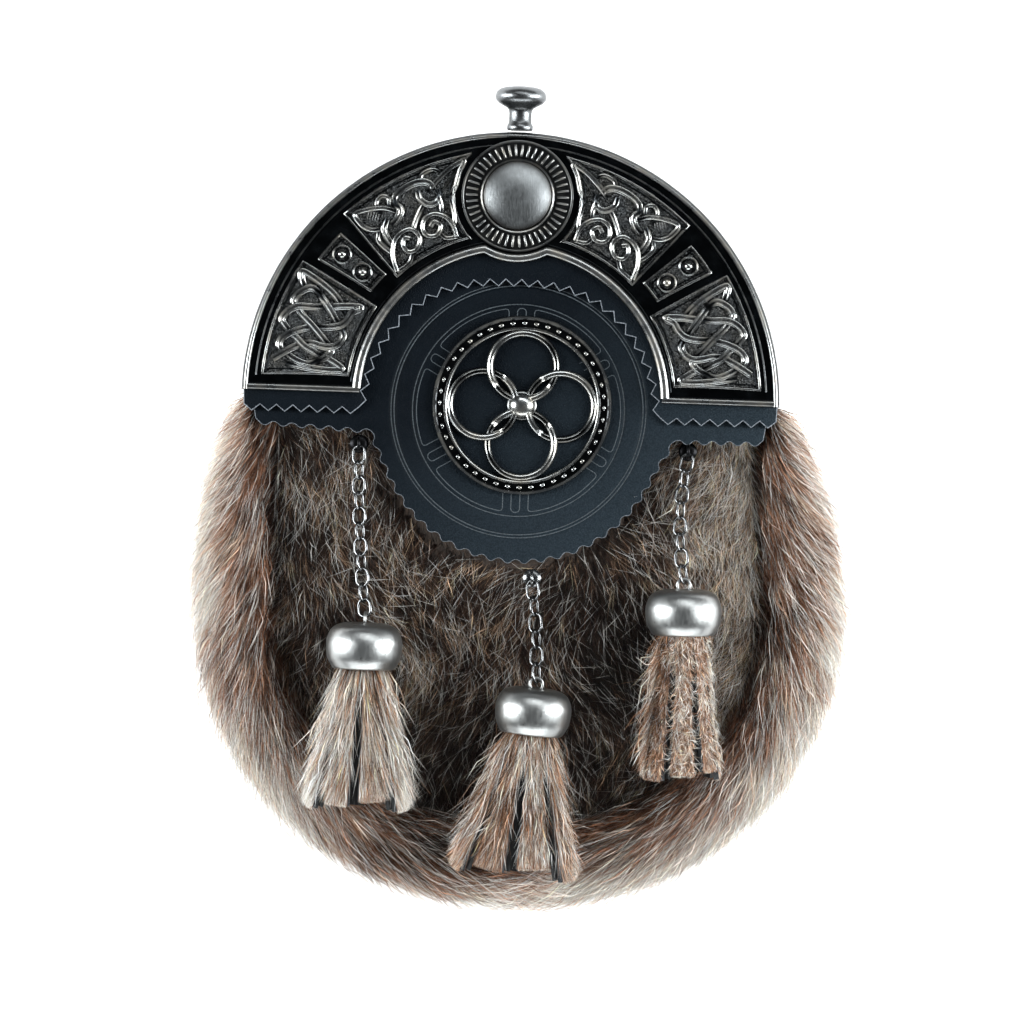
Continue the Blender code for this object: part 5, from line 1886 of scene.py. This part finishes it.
    def build(self) -> None:
        """The flap, as a plain sheet round a disc of fine rings."""
        shape = bmesh.new()
        edges = ring_edges(shape, [shape.verts.new((x, y, 0)) for x, y in self.outline()])
        edges += dict.fromkeys(edge for vert in self.wheel_circle(shape, False) for edge in vert.link_edges)
        bmesh.ops.triangle_fill(shape, use_beauty=True, use_dissolve=False, edges=edges)
        wheel = self.wheel_circle(shape, True)
        inside = [f for f in wheel[0].link_faces if all(v in set(wheel) for v in f.verts)]
        for step in [0.28] * 32 + [1.6] * 11:
            bmesh.ops.inset_region(shape, faces=inside, thickness=step, use_boundary=True,
                                   use_even_offset=True)
        for vert in shape.verts:
            x, y = vert.co.x - self.wheel_middle[0], vert.co.y - self.wheel_middle[1]
            if math.hypot(x, y) < self.wheel_edge - 0.1:
                vert.co.z -= self.pressed(x, y)
        bmesh.ops.remove_doubles(shape, verts=shape.verts, dist=0.002)
        worn = shape.faces.layers.int.new("worn")
        top = shape.faces[:]
        for face in top:
            radius = (face.calc_center_median().xy - Vector(self.wheel_middle)).length
            face[worn] = any(abs(radius - ring) < self.line for ring in self.wheel_rings)
        self.tool_spokes(shape)
        for face in set(shape.faces) - set(top):
            face[worn] = 1
        leather_plate("flap_leather", shape, top, FLAP_Z, LEATHER_THICK, "flap",
                      (BLACK_LEATHER, CUT_LEATHER, WORN_LEATHER))


@dataclass
class Gasket:
    """The pinked leather that shows round the cantle, above the flap.

    Fields:
        foot_x, foot_y: its lower right corner.
        pitch, tooth, hole_tooth: of its two rows of teeth.
        hole: X, Y and radius of its round opening.
        flat, flat_spread: how much flatter the hole is at its top, and over how many degrees.
    """

    radius: float = 73.0
    foot_x: float = 72.8
    foot_y: float = -3.2
    pitch: float = 4.7
    tooth: float = 1.8
    hole: Triple = (-0.2, -5.0, 41.2)
    hole_tooth: float = 1.9
    flat: float = 3.0
    flat_spread: float = 18.0

    def radius_at(self, angle: float) -> float:
        """The hole's radius, flatter at its top."""
        return self.hole[2] - self.flat * math.exp(-(((angle - 90) / self.flat_spread) ** 2) / 2)

    def build(self) -> None:
        """The arch of leather with its two rows of teeth."""
        x, y, radius = self.hole
        rise = math.degrees(math.asin((self.foot_y - y) / radius))
        reach = radius * math.cos(math.radians(rise))
        left, right = (-self.foot_x, self.foot_y), (self.foot_x, self.foot_y)
        outline = arc((0, 0), self.radius, 1, 179, 90)
        outline += toothed_line(left, (x - reach, self.foot_y), self.pitch, self.tooth)
        outline += toothed_arc((x, y), self.radius_at, (180 - rise, rise), self.pitch, self.hole_tooth)
        outline += toothed_line((x + reach, self.foot_y), right, self.pitch, self.tooth)[1:] + [right]
        shape = bmesh.new()
        face = draw_outline(shape, outline, 0.0)
        leather_plate("gasket_leather", shape, [face], GASKET_Z, LEATHER_THICK, "gasket",
                      (BLACK_LEATHER, CUT_LEATHER))


@dataclass
class Body:
    """The leather behind the fur: back panel on its rim, the wall under the arch, and the strap loops.

    Fields:
        panel_z: height of the back panel's underside.
        rim: how far inside the outline the rim under it starts and ends.
        stitch: distance from stitch to stitch.
        mouth: Y, half length and half height of the pouch's mouth.
        wall_radii, wall_heights, wall_foot: of the wall under the arch, and the angle at its foot.
        wall_end: the radius to which its ends turn out, and the angle from which they do.
        loop_at, loop_width, loop_side: place and width of a strap loop, and its shape from the side.
    """

    panel_z: float = 6.6
    panel_thick: float = 2.0
    rim: Place = (0.4, 5.4)
    stitch: float = 3.2
    mouth: Triple = (66.0, 30.0, 9.0)
    wall_radii: Place = (66.1, 67.8)
    wall_heights: Place = (8.9, 37.0)
    wall_foot: float = 0.6
    wall_end: Place = (71.9, 2.6)
    loop_at: Place = (40.0, 20.0)
    loop_width: float = 15.0
    loop_side: tuple[Place, ...] = (
        (-18.0, 0.5), (18.0, 0.5), (18.0, 6.3), (13.0, 6.3), (13.0, 2.1), (-13.0, 2.1), (-13.0, 6.3),
        (-18.0, 6.3),
    )

    def build(self) -> None:
        """Every leather piece of the back, and its seams."""
        outline = pouch_outline(0.25, ARCH_GUSSET_RADIUS, ROLL_STEPS, ARCH_STEPS)
        rims = [inset_outline(outline, inwards) for inwards in self.rim]
        mouth = self.mouth_outline(0.0)
        for name, outlines, low, thick, replaced in (
            ("back_leather", (outline, mouth), self.panel_z, self.panel_thick, "back_panel"),
            ("back_rim", rims, 0.0, self.panel_z + 0.5, ""),
        ):
            shape = bmesh.new()
            faces = pierced(shape, outlines)
            leather_plate(name, shape, faces, low, thick, replaced, turn=Matrix())
        inner, outer = self.wall_radii
        low, high = self.wall_heights
        (far, end), foot = self.wall_end, self.wall_foot
        arch = arc((0, 0), far, foot, end, 1) + arc((0, 0), outer, end, 180 - end, 60)
        arch += arc((0, 0), far, 180 - end, 180 - foot, 1) + arc((0, 0), inner, 180 - foot, foot, 60)
        shape = bmesh.new()
        face = draw_outline(shape, arch, 0.0)
        leather_plate("arch_wall", shape, [face], low, high - low, "arch_gusset")
        for name, side in (("left", -1), ("right", 1)):
            self.strap_loop(name, side)
        self.seam(outline)

    def mouth_outline(self, grown: float) -> Outline:
        """The pouch's mouth in its back, widened by this much."""
        mouth_y, half_width, half_height = self.mouth
        line = arc((LEAN + half_width, mouth_y), half_height + grown, -90, 90, 16)
        return line + arc((LEAN - half_width, mouth_y), half_height + grown, 90, 270, 16)

    def strap_loop(self, name: str, side: int) -> None:
        """A strip with a foot at each end, drawn from its side.

        Args:
            name: the side's name.
            side: -1 on the left and 1 on the right.
        """
        x, y = self.loop_at
        turn = Matrix.Translation((side * x + LEAN, y, 0)) @ Matrix.Rotation(math.pi / 2, 4, "Z")
        turn = turn @ Matrix.Rotation(math.pi / 2, 4, "X")
        shape = bmesh.new()
        face = draw_outline(shape, self.loop_side, 0.0)
        leather_plate("strap_loop_" + name, shape, [face], -self.loop_width / 2, self.loop_width,
                      "belt_loop_" + name, (CUT_LEATHER, BLACK_LEATHER), turn)

    def seam(self, outline: Outline) -> None:
        """Stitches round the back panel and its mouth."""
        shape = bmesh.new()
        for line in (inset_outline(outline, self.rim[1] + 1.6), self.mouth_outline(1.8)):
            for ends in self.stitches(line):
                sweep(shape, level(ends, self.panel_z - 0.02), half_round(0.24, 0.3) * (1, -1))
        finish_piece("back_stitches", to_mesh(shape), [WAXED_THREAD], sharp_degrees=60)

    def stitches(self, line: Outline) -> list[tuple[Rows, Rows]]:
        """Both ends of each stitch along a closed line."""
        points = np.array(line + line[:1])
        lengths = np.concatenate(([0], np.cumsum(np.linalg.norm(np.diff(points, axis=0), axis=1))))
        count = int(lengths[-1] / self.stitch)
        starts = np.arange(count) * lengths[-1] / count
        return list(zip(*(
            np.column_stack([np.interp(at, lengths, points[:, k]) for k in (0, 1)])
            for at in (starts, starts + self.stitch * 0.72)
        )))


# ---------------------------------------------------------------- badge


@dataclass
class Badge:
    """A pierced round badge: four interlaced rings inside a beaded band, with a domed middle.

    Fields:
        middle, low: its place in the cantle's axes and its height.
        band, hub: radius and height round the band and over the domed middle.
        bead_band: radii between which the band is dark, and the beads' own.
        ring_away, ring_radius: how far from the middle each ring lies, and its radius.
    """

    middle: Place = (3.2, -1.0)
    low: float = 39.1
    rings: int = 4
    ring_away: float = 10.6
    ring_radius: float = 9.1
    ring_steps: int = 96
    beads: int = 44
    bead_band: Triple = (21.5, 23.4, 22.45)
    band: tuple[Place, ...] = (
        (24.5, 0.0), (24.5, 1.1), (24.2, 1.5), (23.7, 1.5), (23.4, 1.0), (21.5, 1.0), (21.2, 1.4),
        (20.8, 1.4), (20.4, 1.0), (20.4, 0.0),
    )
    hub: tuple[Place, ...] = (
        (0.0, 2.7), (1.2, 2.62), (2.2, 2.3), (3.0, 1.7), (3.3, 1.1), (3.9, 1.0), (4.2, 0.6), (4.2, 0.1),
        (0.0, 0.1),
    )

    def build(self) -> None:
        """The badge as one casting."""
        near, far, beads = self.bead_band
        shape = turned_shape(self.band, 144, closed_section=True)
        for face in shape.faces:
            face.material_index = int(near < face.calc_center_median().xy.length < far)
        for i in range(self.beads):
            bead = bmesh.ops.create_icosphere(shape, subdivisions=1, radius=0.62)["verts"]
            place_shape(shape, bead, (1.0, 1.25, 0.55), (beads, 0, 1.05), 2 * math.pi * i / self.beads)
        self.draw_rings(shape)
        hub = to_mesh(turned_shape(self.hub, 40))
        shape.from_mesh(hub)
        bpy.data.meshes.remove(hub)
        place = CANTLE_AXES @ Matrix.Translation((*self.middle, self.low))
        finish_piece("badge_casting", to_mesh(shape, relief=(0.3, 1.7)), [ANTIQUE_CASTING, BLACK_ENAMEL],
                     "badge", place, 50)

    def draw_rings(self, shape: Shape) -> None:
        """Rings that pass over and under their neighbours."""
        for i in range(self.rings):
            centre = arc((0, 0), self.ring_away, i * 90, i * 90, 1)[0]
            turns = np.radians(np.arange(self.ring_steps) * 3.75)
            x, y = centre[0] + self.ring_radius * np.cos(turns), centre[1] + self.ring_radius * np.sin(turns)
            around = np.degrees(np.arctan2(y, x)) - i * 90
            wave = np.sin(np.radians(around * 2)) * np.where(np.hypot(x, y) > 9.0, 1, -1)
            sweep(shape, np.column_stack((x, y, 0.72 + 0.3 * wave)), grooved_band(1.0, 0.75), closed=True)


# ---------------------------------------------------------------- chains and tassels


def drop_frame(start: Vector, end: Vector, roll: float) -> Matrix:
    """Axes at the middle between two places: X along them, turned about it by roll degrees."""
    along = (end - start).normalized()
    side = along.cross(Vector((0, 0, 1))).normalized()
    axes = Matrix((along, side, side.cross(along))).transposed().to_4x4()
    return Matrix.Translation((start + end) / 2) @ axes @ Matrix.Rotation(math.radians(roll), 4, "X")


def oblong_ring(length: float, width: float, wire: float, place: Matrix, steps: int = 24,
                sides: int = 10) -> Mesh:
    """A ring of round wire, drawn apart along its own X.

    Args:
        length: its whole length.
        width: its whole width.
        wire: the wire's thickness.
        place: the axes in which it lies.
        steps: stations round the ring.
        sides: of the wire's section.

    Returns:
        Its mesh, in its place.
    """
    shape = bmesh.new()
    made = bmesh.ops.create_circle(shape, radius=wire / 2, segments=sides)["verts"]
    bmesh.ops.rotate(shape, verts=made, matrix=Matrix.Rotation(math.pi / 2, 3, "X"))
    place_shape(shape, made, (1, 1, 1), ((width - wire) / 2, 0, 0), math.pi / steps)
    bmesh.ops.spin(shape, geom=shape.verts[:] + shape.edges[:], cent=(0, 0, 0), axis=(0, 0, 1),
                   angle=2 * math.pi, steps=steps, use_merge=True)
    stretch = (length - width) / 2
    for vert in shape.verts:
        vert.co.x += math.copysign(stretch, vert.co.x)
    mesh = to_mesh(shape)
    places = vertex_places(mesh)
    hollow = np.hypot(places[:, 0] - np.sign(places[:, 0]) * stretch, places[:, 1]) - (width / 2 - wire)
    store(mesh, "relief", hollow / wire + 0.15)
    mesh.transform(place)
    return mesh


@dataclass(frozen=True)
class Strip:
    """One strip of a tassel: the slit after it, how pale its hair is, and how many times longer."""

    slit: float = 0.2
    tone: float = 0.0
    long: float = 1.0


@dataclass
class LaidStrip:
    """A strip in its place.

    Fields:
        path: places along its middle.
        facing: the way its hair side faces.
        halves: its half width along it.
        slits: widths of the slits at its near side and at its far side, as draw_strip counts them.
        strip: how its hair looks.
    """

    path: Rows
    facing: Vector
    halves: Rows
    slits: Place
    strip: Strip

    @property
    def along(self) -> Vector:
        """The way from its upper to its lower end."""
        return Vector(self.path[-1] - self.path[0]).normalized()

    def draw(self, shape: Shape, section: Rows) -> list[Face]:
        """Draws the strip, widened along it; its sides and ends are bare leather.

        Args:
            shape: the bmesh that it is drawn into.
            section: its section for a half width of 1.

        Returns:
            Its faces.
        """
        before, old_faces = set(shape.verts), set(shape.faces)
        sweep(shape, self.path, section, upward=self.facing)
        side = self.along.cross(self.facing).normalized()
        for vert in set(shape.verts) - before:
            nearest = int(np.argmin(np.linalg.norm(self.path - np.array(vert.co), axis=1)))
            away = side.dot(vert.co - Vector(self.path[nearest]))
            vert.co += side * away * (self.halves[nearest] - 1.0)
        faces = list(set(shape.faces) - old_faces)
        for face in faces:
            face.normal_update()
            face.material_index = int(abs(face.normal.dot(self.facing)) <= 0.5)
        return faces


@dataclass
class Drop:
    """One hanger, chain, bell and tassel, laid on the front pelt.

    Fields:
        hanger, bell, tip: their places on the pouch.
        half_width: of the tassel at its lower end.
        bow: how far the chain lies beside its straight line.
        phase: share of a strip by which the strips are turned round the tassel.
        slit_from: share of the tassel's length from which its slits open.
        inward, cover, splay: how hair leans at a wide slit, at a narrow one and outwards.
        head: radius of the tassel in its bell.
        link_fuse: how far links are sunk into each other.
        bell_top, bell_mouth: heights of the bell's two ends.
        gap: what stays free between pieces.
    """

    name: str
    hanger: Place
    bell: Place
    tip: Place
    half_width: float
    bow: float
    coat: Coat
    strips: tuple[Strip, ...]
    phase: float = 0.4
    strip_thick: float = 1.5
    slit_from: float = 0.2
    inward: float = 0.08
    cover: float = 0.28
    splay: float = 0.30
    head: float = 6.6
    tip_half_depth: float = 5.6
    link_pitch: float = 4.26
    link_wire: float = 0.78
    link_width: float = 4.3
    link_fuse: float = 0.14
    link_leans: Place = (-24, 58)
    eye_radius: float = 1.75
    eye_wire: float = 0.85
    bell_radius: float = 10.4
    bell_top: float = 6.2
    bell_mouth: float = -6.2
    gap: float = 0.3
    stud: tuple[Place, ...] = ((0, 0.95), (1.4, 0.9), (2.2, 0.6), (2.55, 0.2), (2.55, 0.0), (0, 0.0))
    cup_outside: tuple[Place, ...] = (
        (0.0, 6.25), (3.4, 6.25), (6.4, 6.0), (8.9, 4.7), (10.2, 2.0), (10.35, -0.6), (9.9, -3.4),
        (8.7, -5.8),
    )
    cup_inside: tuple[Place, ...] = (
        (8.3, -6.15), (7.6, -6.15), (7.3, -5.9), (8.6, -2.5), (8.6, 1.5), (6.0, 4.6), (0.0, 4.8),
    )

    def seat(self, place: Place, reach: float) -> float:
        """The greatest height of the fur within this reach of a place."""
        return max(pelt_height(*spot) for spot in [place] + arc(place, reach, 0, 315, 7))

    def bell_middle(self) -> Vector:
        """The middle of the bell, whose side rests on the fur."""
        return Vector((*self.bell, self.seat(self.bell, self.bell_radius / 2) + self.gap + self.bell_radius))

    def hanger_middle(self) -> Vector:
        """The middle of the hanger's ring, which stands on a small round base."""
        return Vector((*self.hanger, self.seat(self.hanger, 2.6) + self.gap + 0.8 + self.eye_radius))

    def tip_middle(self) -> Vector:
        """The middle of the tassel's lower end."""
        high = max(pelt_height(self.tip[0] + side * self.half_width, self.tip[1]) for side in (-1, 0, 1))
        return Vector((*self.tip, high + self.gap + self.tip_half_depth + 1.9))

    def upward(self) -> Vector:
        """The way from the tassel's tip to its bell."""
        return (self.bell_middle() - self.tip_middle()).normalized()

    def eye_middle(self) -> Vector:
        """The middle of the bell's eye."""
        return self.bell_middle() + self.upward() * (self.bell_top + self.eye_radius - 0.6)

    def build(self) -> None:
        """Every piece of the drop."""
        self.build_hanger()
        self.build_chain()
        self.build_bell()
        self.build_tassel()

    def eye(self, middle: Vector, way: Vector, roll: float) -> Mesh:
        """A round ring of wire, whose own X lies this way."""
        size = 2 * self.eye_radius + self.eye_wire
        return oblong_ring(size, size, self.eye_wire, drop_frame(middle - way, middle + way, roll))

    def build_hanger(self) -> None:
        """A ring on a domed stud."""
        middle = self.hanger_middle()
        stud = to_mesh(turned_shape(self.stud, 28))
        store(stud, "relief", np.full(len(stud.vertices), 0.5))
        stud.transform(Matrix.Translation((middle.x, middle.y, middle.z - self.eye_radius - 0.8)))
        ring = self.eye(middle, (self.eye_middle() - middle).normalized(), 90)
        metal = CHAIN_STEEL if self.name == "centre" else BLACK_STEEL
        finish_piece("hanger_ring_" + self.name, joined((stud, ring)), [metal],
                     "hanger_" + self.name, sharp_degrees=40)

    def chain_ends(self) -> tuple[Vector, Vector]:
        """Where the middle of the end links' wire lies."""
        hanger, eye = self.hanger_middle(), self.eye_middle()
        away = (eye - hanger).normalized()
        reach = self.eye_radius - self.eye_wire / 2 - self.gap - self.link_wire / 2
        return hanger + away * reach, eye - away * reach

    def link_count(self) -> int:
        """How many links fit between the ends."""
        start, end = self.chain_ends()
        return round(((end - start).length - self.link_wire + self.link_fuse) / self.link_pitch)

    def build_chain(self) -> None:
        """Oblong links, each turned a quarter from the last, along a shallow bow."""
        start, end = self.chain_ends()
        inset = (end - start).normalized() * (self.link_wire - self.link_fuse) / 2
        start, end = start + inset, end - inset
        side = (end - start).cross(Vector((0, 0, 1))).normalized()
        count = self.link_count()
        shares = [i / count for i in range(count + 1)]
        places = [start.lerp(end, s) + side * self.bow * math.sin(math.pi * s) for s in shares]
        links = []
        for i, (first, last) in enumerate(zip(places, places[1:])):
            length = (last - first).length + 2 * self.link_wire - self.link_fuse
            frame_of_link = drop_frame(first, last, self.link_leans[i % 2])
            links.append(oblong_ring(length, self.link_width, self.link_wire, frame_of_link, 20, 8))
        finish_piece("chain_links_" + self.name, joined(links), [CHAIN_STEEL],
                     "chain_" + self.name)

    def build_bell(self) -> None:
        """The turned cup and its eye."""
        outside = [tuple(row) for row in smooth_path(self.cup_outside, 5)]
        cup = to_mesh(turned_shape([*outside, *self.cup_inside], 72))
        store(cup, "relief", (vertex_radii(cup) - 5.0) / 4.0 + 0.3)
        up = self.upward()
        turn = up.to_track_quat("Z", "X").to_matrix().to_4x4()
        cup.transform(Matrix.Translation(self.bell_middle()) @ turn)
        ring = self.eye(self.eye_middle(), up, 90 if self.link_count() % 2 else 0)
        finish_piece("bell_cup_" + self.name, joined((cup, ring)), [PEWTER], "bell_" + self.name,
                     sharp_degrees=50)

    def lay_strips(self) -> list[LaidStrip]:
        """The strips in their places round the tassel, from its left side over its front."""
        bell, tip = self.bell_middle(), self.tip_middle()
        along = (tip - bell).normalized()
        side = along.cross(Vector((0, 0, 1))).normalized()
        up = along.cross(side)
        up = -up if up.z < 0 else up
        start = bell + along * (-self.bell_mouth - 3.0)
        length = (tip - start).length
        inner = self.head * 0.7
        shares = np.linspace(0, 1, 13)
        opening = np.clip((shares - self.slit_from) / 0.12, 0, 1)
        reach_side = inner + (self.half_width - 1.5 - inner) * shares**1.3
        reach_up = inner + (self.tip_half_depth - inner) * shares

        def line(turn: float) -> Rows:
            """Places along the tassel at this angle round it."""
            return np.array([
                tuple(start + along * (length * s) + side * math.cos(turn) * a + up * math.sin(turn) * b)
                for s, a, b in zip(shares, reach_side, reach_up)
            ])

        found = []
        for i, strip in enumerate(self.strips):
            before, turn, after = (2 * math.pi * (i + self.phase + k) / len(self.strips) for k in (-1, 0, 1))
            path, ahead = line(turn), line(after)
            spacing = (np.linalg.norm(ahead - path, axis=1) + np.linalg.norm(path - line(before), axis=1)) / 2
            slits = (self.strips[i - 1].slit, strip.slit)
            halves = spacing / 2 - sum(slits) / 4 * opening + 0.25 * (1 - opening)
            facing = (side * math.cos(turn) + up * math.sin(turn)).normalized()
            if along.cross(facing).dot(Vector(ahead[-1] - path[-1])) < 0:
                slits = slits[::-1]
            path = path - np.array(along) * (0.03 * (i % 3) * length) * shares[:, None]
            found.append(LaidStrip(path, facing, halves, slits, strip))
        return found

    def build_tassel(self) -> None:
        """The strips of pelt, black where they are cut, and the hair on them."""
        thick = self.strip_thick / 2
        crown = ((1.0, thick), (0.5, thick * 1.2), (-0.5, thick * 1.2), (-1.0, thick))
        section = np.array(((-1.0, -thick), (1.0, -thick), *crown))
        under = np.array(((-1.0, -thick), (1.0, -thick), (1.0, 0.0), (-1.0, 0.0)))
        shape = bmesh.new()
        roots: list[dict[str, Rows]] = []
        rng = np.random.default_rng(self.coat.seed)
        for laid in self.lay_strips():
            laid.draw(shape, section)
            for face in self.lining(laid).draw(shape, under):
                face.material_index = 2
            roots.append(self.strip_roots(laid, rng))
        finish_piece("tassel_strips_" + self.name, to_mesh(shape), [PELT_STRIP, STRIP_EDGE, STRIP_LINING],
                     "tassel_" + self.name, sharp_degrees=50)
        together = {title: np.concatenate([row[title] for row in roots]) for title in roots[0]}
        hair = self.coat.grow(together, together["lay"], rng)
        finish_piece("tassel_hair_" + self.name, hair, [PELT_HAIR])

    def lining(self, laid: LaidStrip) -> LaidStrip:
        """The black leather under a strip, which shows through the slits beside it."""
        path = laid.path - np.array(laid.facing) * (self.strip_thick / 2) * 1.5
        path[-1] = path[-1] * 0.85 + path[-2] * 0.15
        return LaidStrip(path, laid.facing, laid.halves + 1.0, laid.slits, laid.strip)

    def strip_roots(self, laid: LaidStrip, rng: np.random.Generator) -> dict[str, Rows]:
        """Roots on a strip's outer side, whose hair ends with the strip and keeps clear of wide slits.

        Args:
            laid: the strip.
            rng: the source of chance.

        Returns:
            What Coat.grow asks for, and "lay", the way each hair lies.
        """
        path, facing = laid.path, laid.facing
        side = np.array(laid.along.cross(facing).normalized())
        across = np.linspace(-1, 1, 5)
        out = np.array(facing) * self.strip_thick * 0.6
        places = path[:, None] + side * laid.halves[:, None, None] * across[None, :, None] * 0.94 + out
        share = 1.35 if facing.z > 0 else 0.65
        count = int(self.coat.count * share / len(self.strips))
        roots = Surface(places).faced(facing).sample(count, rng)
        length = float(np.linalg.norm(path[-1] - path[0]))
        roots["limit"] = (1 - roots["row"]) * length + 0.7
        away = 2 * roots["column"][:, None] - 1
        lean = away * np.where(np.where(away < 0, *laid.slits) > 0.5, -self.inward, self.cover) * side
        if abs(facing.x) > 0.8:
            lean = np.array((math.copysign(self.splay, facing.x), 0, 0)) * np.ones((len(away), 1))
        roots["lay"] = roots["along"] + lean
        roots["tint"] = np.full(len(away), laid.strip.tone)
        roots["long"] = np.full(len(away), laid.strip.long)
        return roots


# ---------------------------------------------------------------- studio


@dataclass
class Studio:
    """A pale floor, soft boxes and a camera straight above the pouch.

    Fields:
        focus_z: height that the camera's distance is measured from.
        aim: the place straight under the camera.
        lamps: each soft box's name, place in millimetres, width, height and power.
    """

    lens: float = 200.0
    distance: float = 1564.0
    focus_z: float = 30.0
    aim: Place = (-2.06, -4.26)
    lamps: tuple[tuple[str, Triple, float, float, float], ...] = (
        ("left", (-1250, 100, 560), 480, 1100, 36.0),
        ("right", (1250, 40, 600), 520, 1100, 42.0),
        ("high", (300, 860, 1200), 1500, 420, 8.5),
        ("low", (0, -1150, 440), 1700, 420, 13.0),
    )

    def build(self) -> None:
        """Floor, lights and camera."""
        self.floor()
        self.world()
        for lamp in self.lamps:
            self.lamp(*lamp)
        self.camera()

    def floor(self) -> None:
        """A wide pale floor that reads as white."""
        shape = bmesh.new()
        bmesh.ops.create_grid(shape, x_segments=1, y_segments=1, size=4.0)
        mesh = bpy.data.meshes.new("floor")
        shape.to_mesh(mesh)
        shape.free()
        mesh.materials.append(FloorPaint("floor").material())
        floor = bpy.data.objects.new("floor", mesh)
        floor.location.z = -0.0004
        bpy.context.scene.collection.objects.link(floor)

    def world(self) -> None:
        """Dim even light from all round."""
        world = bpy.data.worlds.new("studio")
        world.use_nodes = True
        world.node_tree.nodes["Background"].inputs["Color"].default_value = (0.9, 0.95, 1.0, 1)
        world.node_tree.nodes["Background"].inputs["Strength"].default_value = 0.06
        bpy.context.scene.world = world

    def lamp(self, name: str, place: Triple, wide: float, high: float, watts: float) -> None:
        """A soft box that faces the pouch.

        Args:
            name: its name.
            place: where it stands, in millimetres.
            wide: its width.
            high: its height.
            watts: its power.
        """
        data = bpy.data.lights.new(name, "AREA")
        data.shape, data.size, data.size_y, data.energy = "RECTANGLE", wide * MM, high * MM, watts
        data.color = (0.94, 0.985, 1.0)
        lamp = bpy.data.objects.new(name, data)
        lamp.location = Vector(place) * MM
        lamp.rotation_euler = (Vector((0, 0, 0.03)) - lamp.location).to_track_quat("-Z", "Y").to_euler()
        bpy.context.scene.collection.objects.link(lamp)

    def camera(self) -> None:
        """A long lens that looks straight down, with +Y up the picture."""
        data = bpy.data.cameras.new("camera")
        data.lens, data.sensor_width = self.lens, 36.0
        data.clip_start, data.clip_end = 0.05, 20.0
        camera = bpy.data.objects.new("camera", data)
        camera.location = Vector((*self.aim, self.distance + self.focus_z)) * MM
        bpy.context.scene.collection.objects.link(camera)
        bpy.context.scene.camera = camera
        bpy.context.scene.view_settings.view_transform = "Standard"


TASSEL_COAT = dict(
    lift_tip=1, clump_reach=1.8, sunk=0.3, deep=(0.05, 0.024, 0.014), base=(0.45, 0.225, 0.122),
    pale=(1.0, 0.88, 0.72), lock_tone=0.46, jitter=0.66,
)


def make_drops() -> list[Drop]:
    """The three drops, with the places that the CAD gives them."""
    side, back = Strip(0.2, 0.55, 1.25), Strip(0.2, 0.1)
    left = Coat(count=12500, length=9.5, width=0.2, lift_root=13, messy=7, clump_pull=0.5, guard=0.28,
                cream=0.0, seed=40, **TASSEL_COAT)
    centre = Coat(count=12500, length=6.5, width=0.2, lift_root=13, messy=12, clump_pull=0.5, guard=0.2,
                  cream=-0.1, seed=41, **TASSEL_COAT)
    right = Coat(count=17000, length=2.7, width=0.19, lift_root=22, messy=34, clump_pull=0.2, guard=0.16,
                 cream=0.0, seed=42, **TASSEL_COAT)
    return [
        Drop("left", (-43.9, 14.4), (-42.3, -40.7), (-44.1, -84.8), 14.5, 0.6, left,
             (side, Strip(1.3, 0.22), Strip(0.2, -0.05), side, back, back, back, side)),
        Drop("centre", (3.4, -22.4), (3.7, -58.4), (-1.5, -102.8), 17.5, -0.5, centre,
             (Strip(1.0, -0.1, 1.9), Strip(1.0, -0.1, 1.3), Strip(1.0, 0.2), Strip(0.2, 0.0, 1.6), back,
              back, back, Strip(0.2, 0.3, 1.9))),
        Drop("right", (46.1, 12.2), (44.6, -31.6), (44.1, -77.0), 10.6, 1.6, right,
             (Strip(1.1, -0.35, 1.2), Strip(0.6, 0.3), Strip(0.2, 0.1), Strip(0.2, 0.35, 1.6), back, back,
              Strip(0.2, -0.1, 4.0)), 0.75),
    ]


def main() -> None:
    """Builds every sub-assembly in order and reports each."""
    logging.basicConfig(level=logging.INFO, format="%(message)s")
    Studio().build()
    for assembly in (FurRoll(), FrontPelt(), Body(), Flap(), Gasket(), Cantle(), Targe(), Knob(), Badge(),
                     *make_drops()):
        assembly.build()


if __name__ == "__main__":
    main()
